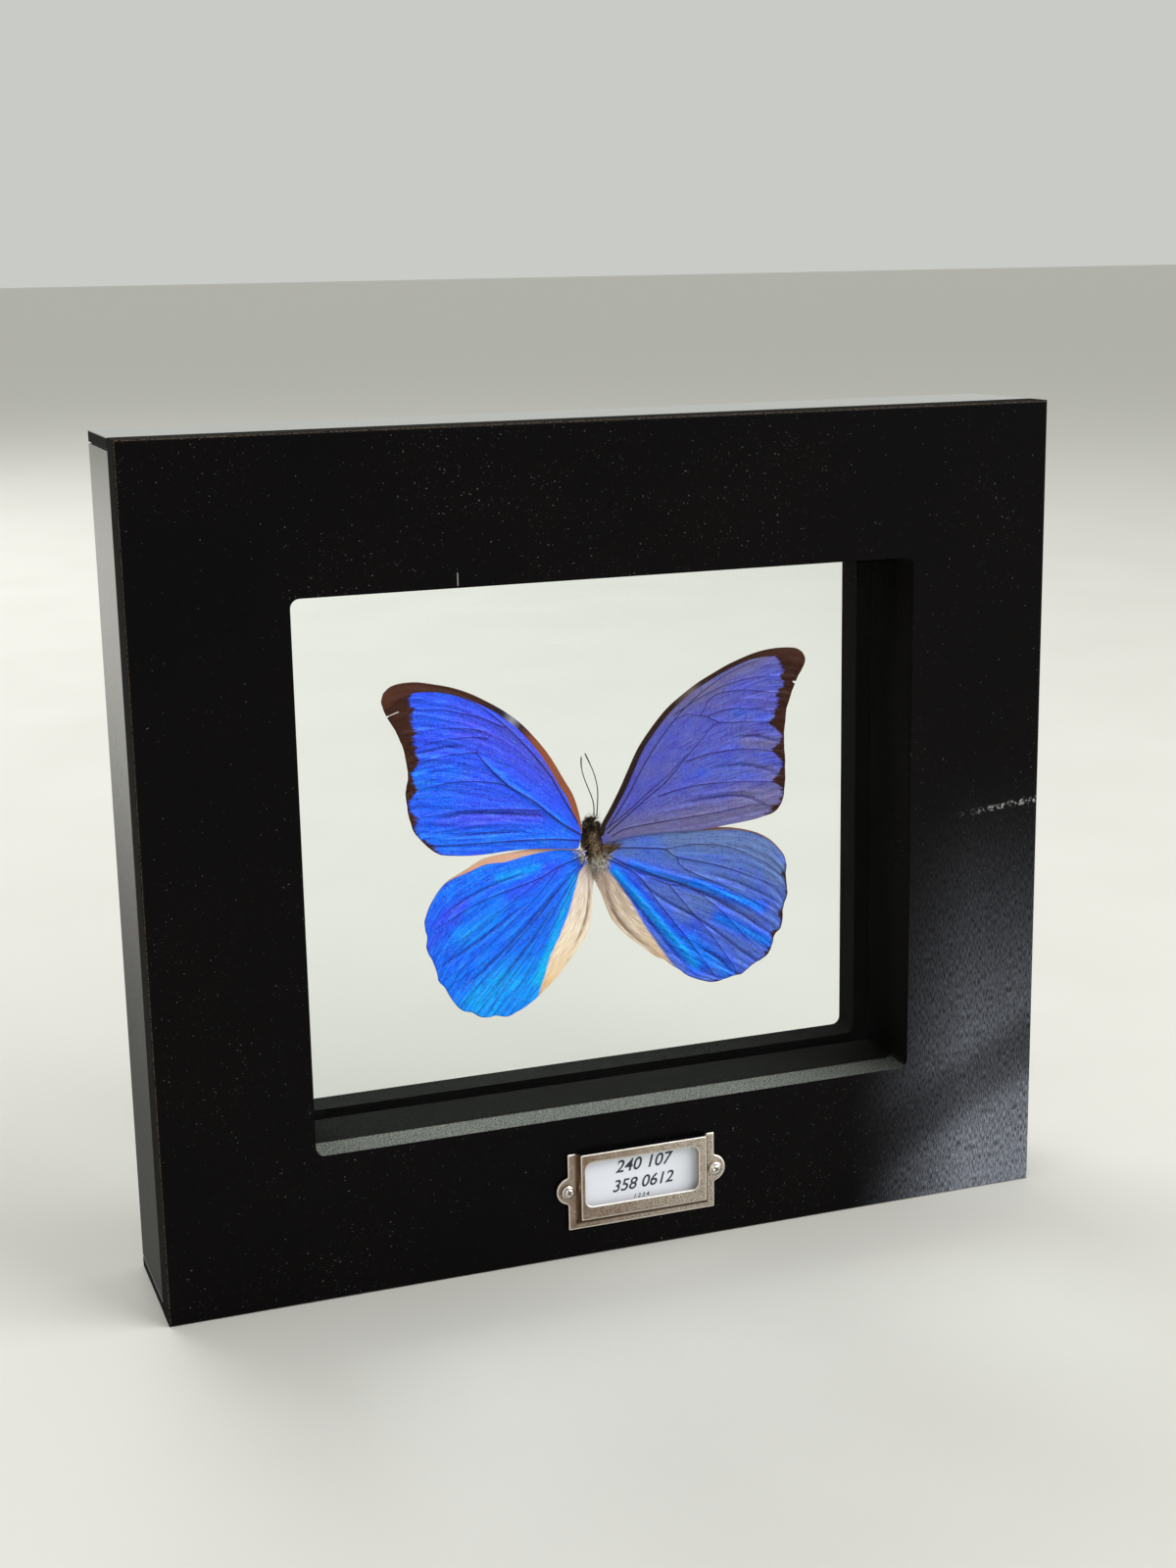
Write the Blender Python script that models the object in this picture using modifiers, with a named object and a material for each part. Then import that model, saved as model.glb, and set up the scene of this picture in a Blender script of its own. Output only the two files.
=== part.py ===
"""Framed butterfly specimen: a spread butterfly between two panes in a deep box frame.

Two painted board panels with matching windows close the front and back of a thin rim.
Inside the rim a pane, a ring of spacer bars and a second pane are stacked, and the
butterfly sits in the gap between the panes. A pressed steel label holder is pinned
under the front window.

Metres, +Z up. The origin is the middle of the base. The front faces -Y, and +X is the
right-hand side seen from the front.
"""

from math import atan, cos, pi, radians, sin

import bmesh
import bpy
from mathutils import Matrix, Vector

MM = 0.001
GAP = 0.3 * MM  # paint and fitting clearance between neighbouring pieces

# The frame
WIDTH = 250 * MM
HEIGHT = 224 * MM
DEPTH = 40 * MM
PANEL = 9 * MM  # thickness of the front and back panels
BORDER = 40 * MM  # from the frame's outer edge to the front window, on all four sides
WINDOW_RADIUS = 2.4 * MM  # left in the window's corners by the router bit
BOARD = 3 * MM  # thickness of the rim's boards
PANE = 2 * MM
ARRIS = 0.6 * MM  # the sanded edge round the front panel's face
BACK_WINDOW_SHIFT = (-1.5 * MM, 0.7 * MM)  # the back window sits a little left and high
SPACER_RECESS_SIDE = 2 * MM  # the spacer bars stand back from the front window's edge
SPACER_RECESS_END = 1 * MM

# The label holder, in the plane of the front panel
HOLDER_X = 4.1 * MM
HOLDER_BOTTOM = 8.4 * MM
HOLDER_WIDTH = 42.6 * MM
HOLDER_HEIGHT = 21.7 * MM
HOLDER_SHEET = 0.75 * MM
HOLDER_FLANGE = 1.95 * MM
HOLDER_RISE = 2.7 * MM  # from the back of the flange to the front of the raised face
HOLDER_SLOPE = 1.2 * MM  # how far the pressed wall leans in over its height
HOLDER_OPENING = (32.6 * MM, 12.4 * MM)
HOLDER_OPENING_CENTRE = (-0.5 * MM, 21.4 * MM)  # from HOLDER_X, and above the base
HOLDER_OPENING_RADIUS = 2 * MM
EAR_RADIUS = 3.9 * MM
EAR_HEIGHT = 19.7 * MM
EAR_INSET = 0.6 * MM  # the ear's centre lies this far inside the flange's edge
PIN_SPACING = 42.8 * MM
PIN_HEAD_RADIUS = 1.8 * MM
PIN_HEAD_HEIGHT = 1.4 * MM
PIN_SHANK_RADIUS = 0.8 * MM
PIN_SHANK_LENGTH = 7 * MM
CARD = (35.6 * MM, 18 * MM, 0.35 * MM)

# The butterfly. A wing's own plane passes through an upright line at the body.
AXIS_X = -0.2 * MM
WING_ROOT_Z = 107 * MM
WING_THICKNESS = 0.4 * MM
FOREWING_Y = 3.0 * MM
FOREWING_RAISE = radians(8)
HINDWING_Y = 4.2 * MM
HINDWING_RAISE = radians(9)
HINDWING_LEAN = atan(0.04)  # the lower edge comes forward

# Wing outlines in millimetres: outwards from the body, and up from the wing roots.
FOREWING_LEFT = (
    (3, 3), (3.5, 10), (7.5, 20.5), (12.5, 28), (20.5, 37.5), (29, 43.5), (40, 49), (50, 51),
    (56.5, 51), (59.5, 47.5), (58, 42), (54.5, 35), (53, 27), (54, 21), (52.5, 13.5), (49, 8),
    (44.5, 4.5), (36, 3.3), (24, 3), (10, 1.5),
)
FOREWING_RIGHT = (
    (5, 4), (5.5, 10), (9, 17.5), (13.5, 27), (21.5, 37.5), (30, 44), (42, 50), (52, 52.5),
    (58.5, 52), (60.7, 49), (58, 42.5), (55.2, 34), (54.7, 26), (55, 15), (53.5, 8.5), (49, 6),
    (38, 4), (27, 3.2), (16, 3), (8, 2.5),
)
HINDWING_LEFT = (
    (2.4, -2), (10, 1), (24, 2.2), (33, 1.4), (41, -2), (47.5, -7.5), (50.2, -13.5), (49.8, -20.5),
    (47.5, -27), (44, -34), (39, -39), (33.5, -41.6), (26.8, -42.4), (20, -40), (13, -35.4),
    (6, -28.5), (1.5, -23), (0.5, -16), (1.2, -8),
)
HINDWING_RIGHT = (
    (5.2, -3), (9, 1.3), (16, 2.8), (28, 3.2), (38, 3.3), (45.5, 2), (51, -1), (55, -6.5),
    (55.6, -15), (54.3, -23.5), (51.5, -30), (47.5, -35), (42, -38.6), (35.4, -40.2), (28, -38.5),
    (20, -33), (12.5, -27.5), (7, -22.5), (4, -16), (3, -10), (5, -7),
)

# The body leans: its head end is further left than its tail end.
THORAX_CENTRE = (1.0 * MM, 5.0 * MM, 107.4 * MM)
THORAX_RADII = (2.6 * MM, 3.2 * MM, 6.2 * MM)
THORAX_LEAN = radians(-10)
HEAD_CENTRE = (-0.3 * MM, 3.9 * MM, 114.6 * MM)
HEAD_RADIUS = 1.9 * MM

# Each antenna's route, in millimetres, from the head out.
ANTENNA_LEFT = ((0.9, 3.0, 116.4), (0.7, 2.6, 119.6), (-0.3, 2.0, 122.6), (-2.0, 1.5, 126.6),
                (-3.1, 1.1, 130.2), (-3.2, 1.0, 133.4))
ANTENNA_RIGHT = ((1.7, 3.0, 116.2), (1.9, 2.6, 120.8), (1.6, 2.0, 124.6), (0.6, 1.5, 128.2),
                 (-0.6, 1.1, 131.0), (-2.1, 1.0, 134.2))
ANTENNA_RADIUS = 0.15 * MM

# Where the layers lie, from the front face back
FRONT = -DEPTH / 2
PANEL_BACK = FRONT + PANEL
BACK_PANEL_FRONT = DEPTH / 2 - PANEL
FRONT_PANE = (PANEL_BACK + GAP, PANEL_BACK + GAP + PANE)
BACK_PANE = (BACK_PANEL_FRONT - GAP - PANE, BACK_PANEL_FRONT - GAP)
SPACER = (FRONT_PANE[1] + GAP, BACK_PANE[0] - GAP)
INSIDE_X = WIDTH / 2 - BOARD - GAP
INSIDE_Z = (BOARD + GAP, HEIGHT - BOARD - GAP)
WINDOW_SIZE = (WIDTH - 2 * BORDER, HEIGHT - 2 * BORDER)


def clear_scene():
    for obj in list(bpy.data.objects):
        bpy.data.objects.remove(obj, do_unlink=True)


def make_collection(name):
    collection = bpy.data.collections.new(name)
    bpy.context.scene.collection.children.link(collection)
    return collection


clear_scene()
PARTS = make_collection("framed_butterfly_specimen")
CUTTERS = make_collection("cutters")


def make_material(name, colour, roughness, metallic=0.0, transmission=0.0):
    material = bpy.data.materials.new(name)
    material.use_nodes = True
    shader = material.node_tree.nodes["Principled BSDF"]
    shader.inputs["Base Color"].default_value = (*colour, 1)
    shader.inputs["Roughness"].default_value = roughness
    shader.inputs["Metallic"].default_value = metallic
    shader.inputs["Transmission Weight"].default_value = transmission
    material.diffuse_color = (*colour, 1)
    return material


BLACK_PAINT = make_material("satin_black_paint", (0.008, 0.007, 0.008), 0.45)
SPACER_PAINT = make_material("spacer_paint", (0.017, 0.021, 0.025), 0.6)
GLASS = make_material("clear_glass", (0.95, 0.97, 0.96), 0.02, transmission=1.0)
NICKEL = make_material("satin_nickel", (0.38, 0.34, 0.30), 0.35, metallic=1.0)
PAPER = make_material("label_card", (0.80, 0.83, 0.88), 0.8)
LEFT_WING = make_material("blue_wing_scales", (0.02, 0.12, 0.85), 0.4)
RIGHT_WING = make_material("violet_wing_scales", (0.07, 0.09, 0.55), 0.45)
BODY_HAIR = make_material("body_hair", (0.06, 0.045, 0.035), 0.9)
ANTENNA_HORN = make_material("antenna_horn", (0.05, 0.025, 0.015), 0.5)


def new_object(name, data, material, collection):
    obj = bpy.data.objects.new(name, data)
    collection.objects.link(obj)
    if material:
        data.materials.append(material)
    if collection is CUTTERS:
        obj.hide_render = True
        obj.display_type = "WIRE"
    return obj


def mesh_object(name, bm, material, collection=PARTS):
    mesh = bpy.data.meshes.new(name)
    bm.to_mesh(mesh)
    bm.free()
    return new_object(name, mesh, material, collection)


def box_bmesh(low, high):
    """A cube primitive stretched between two corners."""
    low, high = Vector(low), Vector(high)
    bm = bmesh.new()
    stretch = Matrix.Diagonal((*(high - low), 1))
    bmesh.ops.create_cube(bm, size=1, matrix=Matrix.Translation((low + high) / 2) @ stretch)
    return bm


def make_box(name, low, high, material, edge=0.2 * MM):
    """A board, bar or pane with its edges just broken."""
    obj = mesh_object(name, box_bmesh(low, high), material)
    bevel = obj.modifiers.new("broken_edges", "BEVEL")
    bevel.width = edge
    bevel.segments = 1
    return obj


def cut(obj, cutter):
    boolean = obj.modifiers.new(cutter.name, "BOOLEAN")
    boolean.operation = "DIFFERENCE"
    boolean.object = cutter


def as_mesh(curve_object):
    """Replaces a curve object by its mesh, with the loose caps welded to the sides."""
    bpy.context.view_layer.update()
    graph = bpy.context.evaluated_depsgraph_get()
    mesh = bpy.data.meshes.new_from_object(curve_object.evaluated_get(graph))
    bm = bmesh.new()
    bm.from_mesh(mesh)
    bmesh.ops.remove_doubles(bm, verts=bm.verts, dist=0.001 * MM)
    bm.to_mesh(mesh)
    bm.free()
    name = curve_object.name
    collection = curve_object.users_collection[0]
    matrix = curve_object.matrix_world.copy()
    bpy.data.objects.remove(curve_object, do_unlink=True)
    mesh.name = name
    obj = new_object(name, mesh, None, collection)
    obj.matrix_world = matrix
    return obj


def flat_shape(name, outlines, thickness, material, collection=PARTS, smooth=False):
    """An extruded flat outline in the XY plane. Later outlines inside the first are holes."""
    curve = bpy.data.curves.new(name, "CURVE")
    curve.dimensions = "2D"
    curve.fill_mode = "BOTH"
    curve.extrude = thickness / 2
    curve.resolution_u = 4
    for points in outlines:
        spline = curve.splines.new("BEZIER" if smooth else "POLY")
        places = spline.bezier_points if smooth else spline.points
        places.add(len(points) - 1)
        for place, (x, y) in zip(places, points):
            place.co = (x, y, 0) if smooth else (x, y, 0, 1)
            if smooth:
                place.handle_left_type = place.handle_right_type = "AUTO"
        spline.use_cyclic_u = True
    return new_object(name, curve, material, collection)


def rounded_rectangle(centre, size, radius, steps=6):
    """The outline of a rectangle whose corners are quarter circles."""
    points = []
    for corner in range(4):
        side_x = 1 if corner in (0, 3) else -1
        side_y = 1 if corner in (0, 1) else -1
        middle_x = centre[0] + side_x * (size[0] / 2 - radius)
        middle_y = centre[1] + side_y * (size[1] / 2 - radius)
        for step in range(steps + 1):
            angle = (corner + step / steps) * pi / 2
            points.append((middle_x + radius * cos(angle), middle_y + radius * sin(angle)))
    return points


def stand_up(obj, y):
    """Turns a flat shape to face the front, with the middle of its thickness at y."""
    obj.rotation_euler = (pi / 2, 0, 0)
    obj.location = (0, y, 0)


def window_cutter(name, shift, y):
    centre = (shift[0], HEIGHT / 2 + shift[1])
    outline = rounded_rectangle(centre, WINDOW_SIZE, WINDOW_RADIUS)
    cutter = flat_shape(name, [outline], 2 * PANEL, None, CUTTERS)
    stand_up(cutter, y)
    return as_mesh(cutter)


def hole_cutter(name, x, z, radius, y_from, y_to):
    """A round bore along Y."""
    bm = bmesh.new()
    place = Matrix.Translation((x, (y_from + y_to) / 2, z)) @ Matrix.Rotation(pi / 2, 4, "X")
    bmesh.ops.create_cone(
        bm, cap_ends=True, segments=24, radius1=radius, radius2=radius,
        depth=y_to - y_from, matrix=place,
    )
    return mesh_object(name, bm, None, CUTTERS)


def pin_positions():
    for side, word in ((-1, "left"), (1, "right")):
        yield word, HOLDER_X + side * PIN_SPACING / 2


def make_front_panel():
    """The full-size front board: its face has a sanded arris, and its edges are bare cuts."""
    bm = box_bmesh((-WIDTH / 2, FRONT, 0), (WIDTH / 2, PANEL_BACK, HEIGHT))
    face_edges = [e for e in bm.edges if all(v.co.y < FRONT + PANEL / 2 for v in e.verts)]
    bmesh.ops.bevel(bm, geom=face_edges, offset=ARRIS, segments=3, affect="EDGES", profile=0.5)
    panel = mesh_object("front_panel", bm, BLACK_PAINT)
    cut(panel, window_cutter("front_window", (0, 0), FRONT + PANEL / 2))
    for word, x in pin_positions():
        end = FRONT + PIN_SHANK_LENGTH + 1.5 * MM
        cut(panel, hole_cutter(f"pin_hole_{word}", x, EAR_HEIGHT, PIN_SHANK_RADIUS + GAP,
                               FRONT - 1 * MM, end))


def make_back_panel():
    """The back board drops into the rim, flush with its back edges."""
    bm = box_bmesh((-INSIDE_X, BACK_PANEL_FRONT, INSIDE_Z[0]), (INSIDE_X, DEPTH / 2, INSIDE_Z[1]))
    panel = mesh_object("back_panel", bm, BLACK_PAINT)
    cut(panel, window_cutter("back_window", BACK_WINDOW_SHIFT, BACK_PANEL_FRONT + PANEL / 2))


def make_rim():
    """The top and bottom boards run the full width, over the ends of the side boards."""
    front = PANEL_BACK + GAP
    back = DEPTH / 2
    half = WIDTH / 2
    for name, z in (("bottom_board", 0), ("top_board", HEIGHT - BOARD)):
        make_box(name, (-half, front, z), (half, back, z + BOARD), BLACK_PAINT)
    for name, x in (("left_board", -half), ("right_board", half - BOARD)):
        make_box(name, (x, front, INSIDE_Z[0]), (x + BOARD, back, INSIDE_Z[1]), BLACK_PAINT)


def make_panes():
    for name, (front, back) in (("front_pane", FRONT_PANE), ("back_pane", BACK_PANE)):
        low = (-INSIDE_X, front, INSIDE_Z[0])
        make_box(name, low, (INSIDE_X, back, INSIDE_Z[1]), GLASS, edge=0.1 * MM)


def make_spacers():
    """Four bars fill the space between the rim and the window, and hold the panes apart."""
    inner_x = WINDOW_SIZE[0] / 2 + SPACER_RECESS_SIDE
    low_bar_top = BORDER - SPACER_RECESS_END
    high_bar_bottom = HEIGHT - BORDER + SPACER_RECESS_END
    bars = (
        ("spacer_bottom", -INSIDE_X, INSIDE_X, INSIDE_Z[0], low_bar_top),
        ("spacer_top", -INSIDE_X, INSIDE_X, high_bar_bottom, INSIDE_Z[1]),
        ("spacer_left", -INSIDE_X, -inner_x, low_bar_top + GAP, high_bar_bottom - GAP),
        ("spacer_right", inner_x, INSIDE_X, low_bar_top + GAP, high_bar_bottom - GAP),
    )
    for name, left, right, bottom, top in bars:
        make_box(name, (left, SPACER[0], bottom), (right, SPACER[1], top), SPACER_PAINT)


def frustum(name, back_box, front_box, y_back, y_front, material, collection=PARTS):
    """A box whose front rectangle differs from its back one: each is (left, right, bottom, top)."""
    bm = box_bmesh((-1, y_front, -1), (1, y_back, 1))
    for vert in bm.verts:
        left, right, bottom, top = back_box if vert.co.y > (y_front + y_back) / 2 else front_box
        vert.co.x = left if vert.co.x < 0 else right
        vert.co.z = bottom if vert.co.z < 0 else top
    return mesh_object(name, bm, material, collection)


def make_label_holder():
    """A steel pressing: a flat flange with two ears, and a raised face over an open-topped slot."""
    back = FRONT - GAP
    flange_front = back - HOLDER_SHEET
    face_front = back - HOLDER_RISE
    left = HOLDER_X - HOLDER_WIDTH / 2
    right = HOLDER_X + HOLDER_WIDTH / 2
    bottom = HOLDER_BOTTOM
    top = HOLDER_BOTTOM + HOLDER_HEIGHT
    foot = (left + HOLDER_FLANGE, right - HOLDER_FLANGE, bottom + HOLDER_FLANGE, top)
    crown = (foot[0] + HOLDER_SLOPE, foot[1] - HOLDER_SLOPE, foot[2] + HOLDER_SLOPE, top)

    holder = frustum("label_holder", foot, crown, back, face_front, NICKEL)
    flange_box = box_bmesh((left, flange_front, bottom), (right, back, top))
    adders = [mesh_object("flange", flange_box, None, CUTTERS)]
    for side, edge in (("left", left + EAR_INSET), ("right", right - EAR_INSET)):
        adders.append(hole_cutter(f"ear_{side}", edge, EAR_HEIGHT, EAR_RADIUS, flange_front, back))
    for adder in adders:
        union = holder.modifiers.new(adder.name, "BOOLEAN")
        union.operation = "UNION"
        union.object = adder

    inside_back = back + 1 * MM
    inside_front = face_front + HOLDER_SHEET
    lean = HOLDER_SLOPE / HOLDER_RISE
    wall = HOLDER_SHEET

    def slot_box(y):
        """The slot's rectangle at depth y, one sheet in from the sloping walls."""
        shrink = wall + lean * (back - y)
        return (foot[0] + shrink, foot[1] - shrink, foot[2] + shrink, top + 1 * MM)

    cut(holder, frustum("label_slot", slot_box(inside_back), slot_box(inside_front),
                        inside_back, inside_front, None, CUTTERS))
    centre = (HOLDER_X + HOLDER_OPENING_CENTRE[0], HOLDER_OPENING_CENTRE[1])
    opening = flat_shape(
        "label_opening", [rounded_rectangle(centre, HOLDER_OPENING, HOLDER_OPENING_RADIUS)],
        3 * HOLDER_SHEET, None, CUTTERS,
    )
    stand_up(opening, face_front)
    cut(holder, as_mesh(opening))
    for word, x in pin_positions():
        cut(holder, hole_cutter(f"ear_hole_{word}", x, EAR_HEIGHT, PIN_SHANK_RADIUS + GAP,
                                flange_front - 1 * MM, back + 1 * MM))


def make_label_card():
    """The card stands in the slot, on the pressing's lower wall, against the panel."""
    width, height, thickness = CARD
    bottom = HOLDER_BOTTOM + HOLDER_FLANGE + HOLDER_SHEET + 0.4 * MM
    back = FRONT - GAP
    low = (HOLDER_X - width / 2, back - thickness, bottom)
    high = (HOLDER_X + width / 2, back, bottom + height)
    make_box("label_card", low, high, PAPER, edge=0.05 * MM)


def make_pins():
    """Dome-headed pins: a turned profile, from the crown of the head down to the point."""
    dome_steps = 8
    profile = []
    for step in range(dome_steps + 1):
        angle = pi / 2 * (1 - step / dome_steps)
        profile.append((PIN_HEAD_RADIUS * cos(angle), PIN_HEAD_HEIGHT * sin(angle)))
    point_start = -PIN_SHANK_LENGTH + 2 * PIN_SHANK_RADIUS
    profile += [(PIN_SHANK_RADIUS, 0), (PIN_SHANK_RADIUS, point_start), (0, -PIN_SHANK_LENGTH)]
    seat_y = FRONT - 2 * GAP - HOLDER_SHEET
    for word, x in pin_positions():
        bm = bmesh.new()
        verts = [bm.verts.new((radius, 0, z)) for radius, z in profile]
        for first, second in zip(verts, verts[1:]):
            bm.edges.new((first, second))
        pin = mesh_object(f"label_pin_{word}", bm, NICKEL)
        screw = pin.modifiers.new("turned", "SCREW")
        screw.steps = screw.render_steps = 20
        screw.use_merge_vertices = True
        screw.merge_threshold = 0.01 * MM
        pin.rotation_euler = (pi / 2, 0, 0)
        pin.location = (x, seat_y, EAR_HEIGHT)


def make_wing(name, outline, side, y, raise_angle, lean, material):
    """A flat wing: side is -1 for left. It is leaned about X, then raised about its root line."""
    points = [(side * u * MM, v * MM) for u, v in outline]
    wing = flat_shape(name, [points], WING_THICKNESS, None, smooth=True)
    wing.rotation_euler = (pi / 2 - lean, 0, -side * raise_angle)
    wing.location = (AXIS_X, y, WING_ROOT_Z)
    wing = as_mesh(wing)
    wing.data.materials.append(material)


def make_wings():
    make_wing("forewing_left", FOREWING_LEFT, -1, FOREWING_Y, FOREWING_RAISE, 0, LEFT_WING)
    make_wing("forewing_right", FOREWING_RIGHT, 1, FOREWING_Y, FOREWING_RAISE, 0, RIGHT_WING)
    make_wing("hindwing_left", HINDWING_LEFT, -1, HINDWING_Y, HINDWING_RAISE, HINDWING_LEAN,
              LEFT_WING)
    make_wing("hindwing_right", HINDWING_RIGHT, 1, HINDWING_Y, HINDWING_RAISE, HINDWING_LEAN,
              RIGHT_WING)


def ellipsoid(name, centre, radii, lean, material, collection=PARTS):
    bm = bmesh.new()
    place = (
        Matrix.Translation(centre) @ Matrix.Rotation(lean, 4, "Y") @ Matrix.Diagonal((*radii, 1))
    )
    bmesh.ops.create_uvsphere(bm, u_segments=20, v_segments=12, radius=1, matrix=place)
    obj = mesh_object(name, bm, material, collection)
    obj.data.shade_smooth()
    return obj


def make_body():
    """Thorax and head in one piece; the abdomen is missing."""
    body = ellipsoid("thorax_and_head", THORAX_CENTRE, THORAX_RADII, THORAX_LEAN, BODY_HAIR)
    head = ellipsoid("head", HEAD_CENTRE, (HEAD_RADIUS,) * 3, 0, None, CUTTERS)
    union = body.modifiers.new("head", "BOOLEAN")
    union.operation = "UNION"
    union.object = head


def make_antenna(name, route):
    curve = bpy.data.curves.new(name, "CURVE")
    curve.dimensions = "3D"
    curve.bevel_depth = ANTENNA_RADIUS
    curve.bevel_resolution = 2
    curve.use_fill_caps = True
    spline = curve.splines.new("POLY")
    spline.points.add(len(route) - 1)
    for point, place in zip(spline.points, route):
        point.co = (*(value * MM for value in place), 1)
    new_object(name, curve, ANTENNA_HORN, PARTS)


make_front_panel()
make_back_panel()
make_rim()
make_panes()
make_spacers()
make_label_holder()
make_label_card()
make_pins()
make_wings()
make_body()
make_antenna("antenna_left", ANTENNA_LEFT)
make_antenna("antenna_right", ANTENNA_RIGHT)
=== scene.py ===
"""Looks of the framed butterfly specimen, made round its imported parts.

The frame's boards, bars and panes keep their own meshes and get their finishes here. The
wings, body, antennae, pins and label holder are made again as fine surfaces.

Metres, +Z up, front towards -Y. Wing shapes are given in millimetres in the wing's own
plane: outwards from the body, then up from the wing roots.
"""

from math import atan, cos, pi, radians, sin

import bmesh
import bpy
import numpy as np
from mathutils import Matrix, Vector


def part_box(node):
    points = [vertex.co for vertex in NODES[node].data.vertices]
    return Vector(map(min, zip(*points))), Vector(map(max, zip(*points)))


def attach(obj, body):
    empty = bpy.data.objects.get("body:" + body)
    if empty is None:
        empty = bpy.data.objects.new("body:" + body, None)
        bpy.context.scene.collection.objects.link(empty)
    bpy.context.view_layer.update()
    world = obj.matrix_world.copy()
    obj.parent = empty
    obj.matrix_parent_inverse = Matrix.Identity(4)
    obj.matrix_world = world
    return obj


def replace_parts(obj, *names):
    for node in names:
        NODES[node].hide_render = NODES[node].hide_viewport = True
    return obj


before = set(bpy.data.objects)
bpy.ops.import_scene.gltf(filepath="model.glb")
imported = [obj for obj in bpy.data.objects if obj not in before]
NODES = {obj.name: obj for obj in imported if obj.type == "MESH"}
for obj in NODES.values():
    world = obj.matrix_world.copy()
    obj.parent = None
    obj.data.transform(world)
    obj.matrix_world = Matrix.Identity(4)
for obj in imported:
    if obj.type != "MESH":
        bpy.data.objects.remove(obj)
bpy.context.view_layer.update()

MM = 0.001

# Where the wings hang: the same planes as their solids
AXIS_X = -0.2
ROOT_Z = 107.0
FOREWING_PLANE = (3.0, radians(8), 0.0)  # depth at the body in mm, raise, lean
HINDWING_PLANE = (4.2, radians(9), atan(0.04))
MEMBRANE = 0.12  # mm: about twice the real one, so that both sides mesh cleanly

# Marks of use on the front panel, in mm from the middle of the frame and from its foot
SCUFF_Z = 102.4
SCRATCH_X, SCRATCH_Z = -42.4, 186.2


def linear(code):
    """An sRGB hex colour as the linear RGBA that a shader works in."""
    channels = np.array([int(code[i:i + 2], 16) for i in (1, 3, 5)]) / 255
    steep = ((channels + 0.055) / 1.055) ** 2.4
    red, green, blue = np.where(channels <= 0.04045, channels / 12.92, steep)
    return float(red), float(green), float(blue), 1.0


# Settings of the two nodes that are used most. A Mix of colours has its factor at input 0 and
# its colours at 6 and 7. A soft step takes a value, the two places that it steps between, and
# the levels at those places where they aren't 0 and 1.
COLOURS = {"out": 2, "data_type": "RGBA"}
SOFT = {"interpolation_type": "SMOOTHSTEP"}


def add(tree, kind, inputs=(), out=0, stops=(), **settings):
    """Adds one node with its settings and links, and returns one of its outputs. The inputs
    come in order or by name, and each takes a value, a hex colour or another node's output."""
    node = tree.nodes.new("ShaderNode" + kind)
    for name, value in settings.items():
        setattr(node, name, value)
    if stops:
        elements = node.color_ramp.elements
        elements.remove(elements[1])
        elements[0].position, elements[0].color = stops[0][0], linear(stops[0][1])
        for place, colour in stops[1:]:
            elements.new(place).color = linear(colour)
    for name, value in inputs.items() if isinstance(inputs, dict) else enumerate(inputs):
        if isinstance(value, bpy.types.NodeSocket):
            tree.links.new(value, node.inputs[name])
        elif isinstance(value, str):
            node.inputs[name].default_value = linear(value)
        else:
            node.inputs[name].default_value = value
    return node.outputs[out]


def new_material(name, **even):
    """A Principled material. What is the same all over goes straight on the shader's sockets."""
    material = bpy.data.materials.new(name)
    material.use_nodes = True
    tree = material.node_tree
    shader = tree.nodes["Principled BSDF"]
    for socket, value in even.items():
        value = linear(value) if isinstance(value, str) else value
        shader.inputs[socket.replace("_", " ")].default_value = value
    return material, tree, shader


def feed(tree, shader, **outputs):
    for socket, output in outputs.items():
        tree.links.new(output, shader.inputs[socket.replace("_", " ")])


def in_millimetres(tree, stretch=(1, 1, 1)):
    """Object coordinates in millimetres, so that a pattern's scale is one over its size."""
    place = add(tree, "TexCoord", out="Object")
    factors = [1000 / s for s in stretch]
    return add(tree, "VectorMath", (place, factors), operation="MULTIPLY")


# ---------------------------------------------------------------- finishes of the frame

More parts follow.
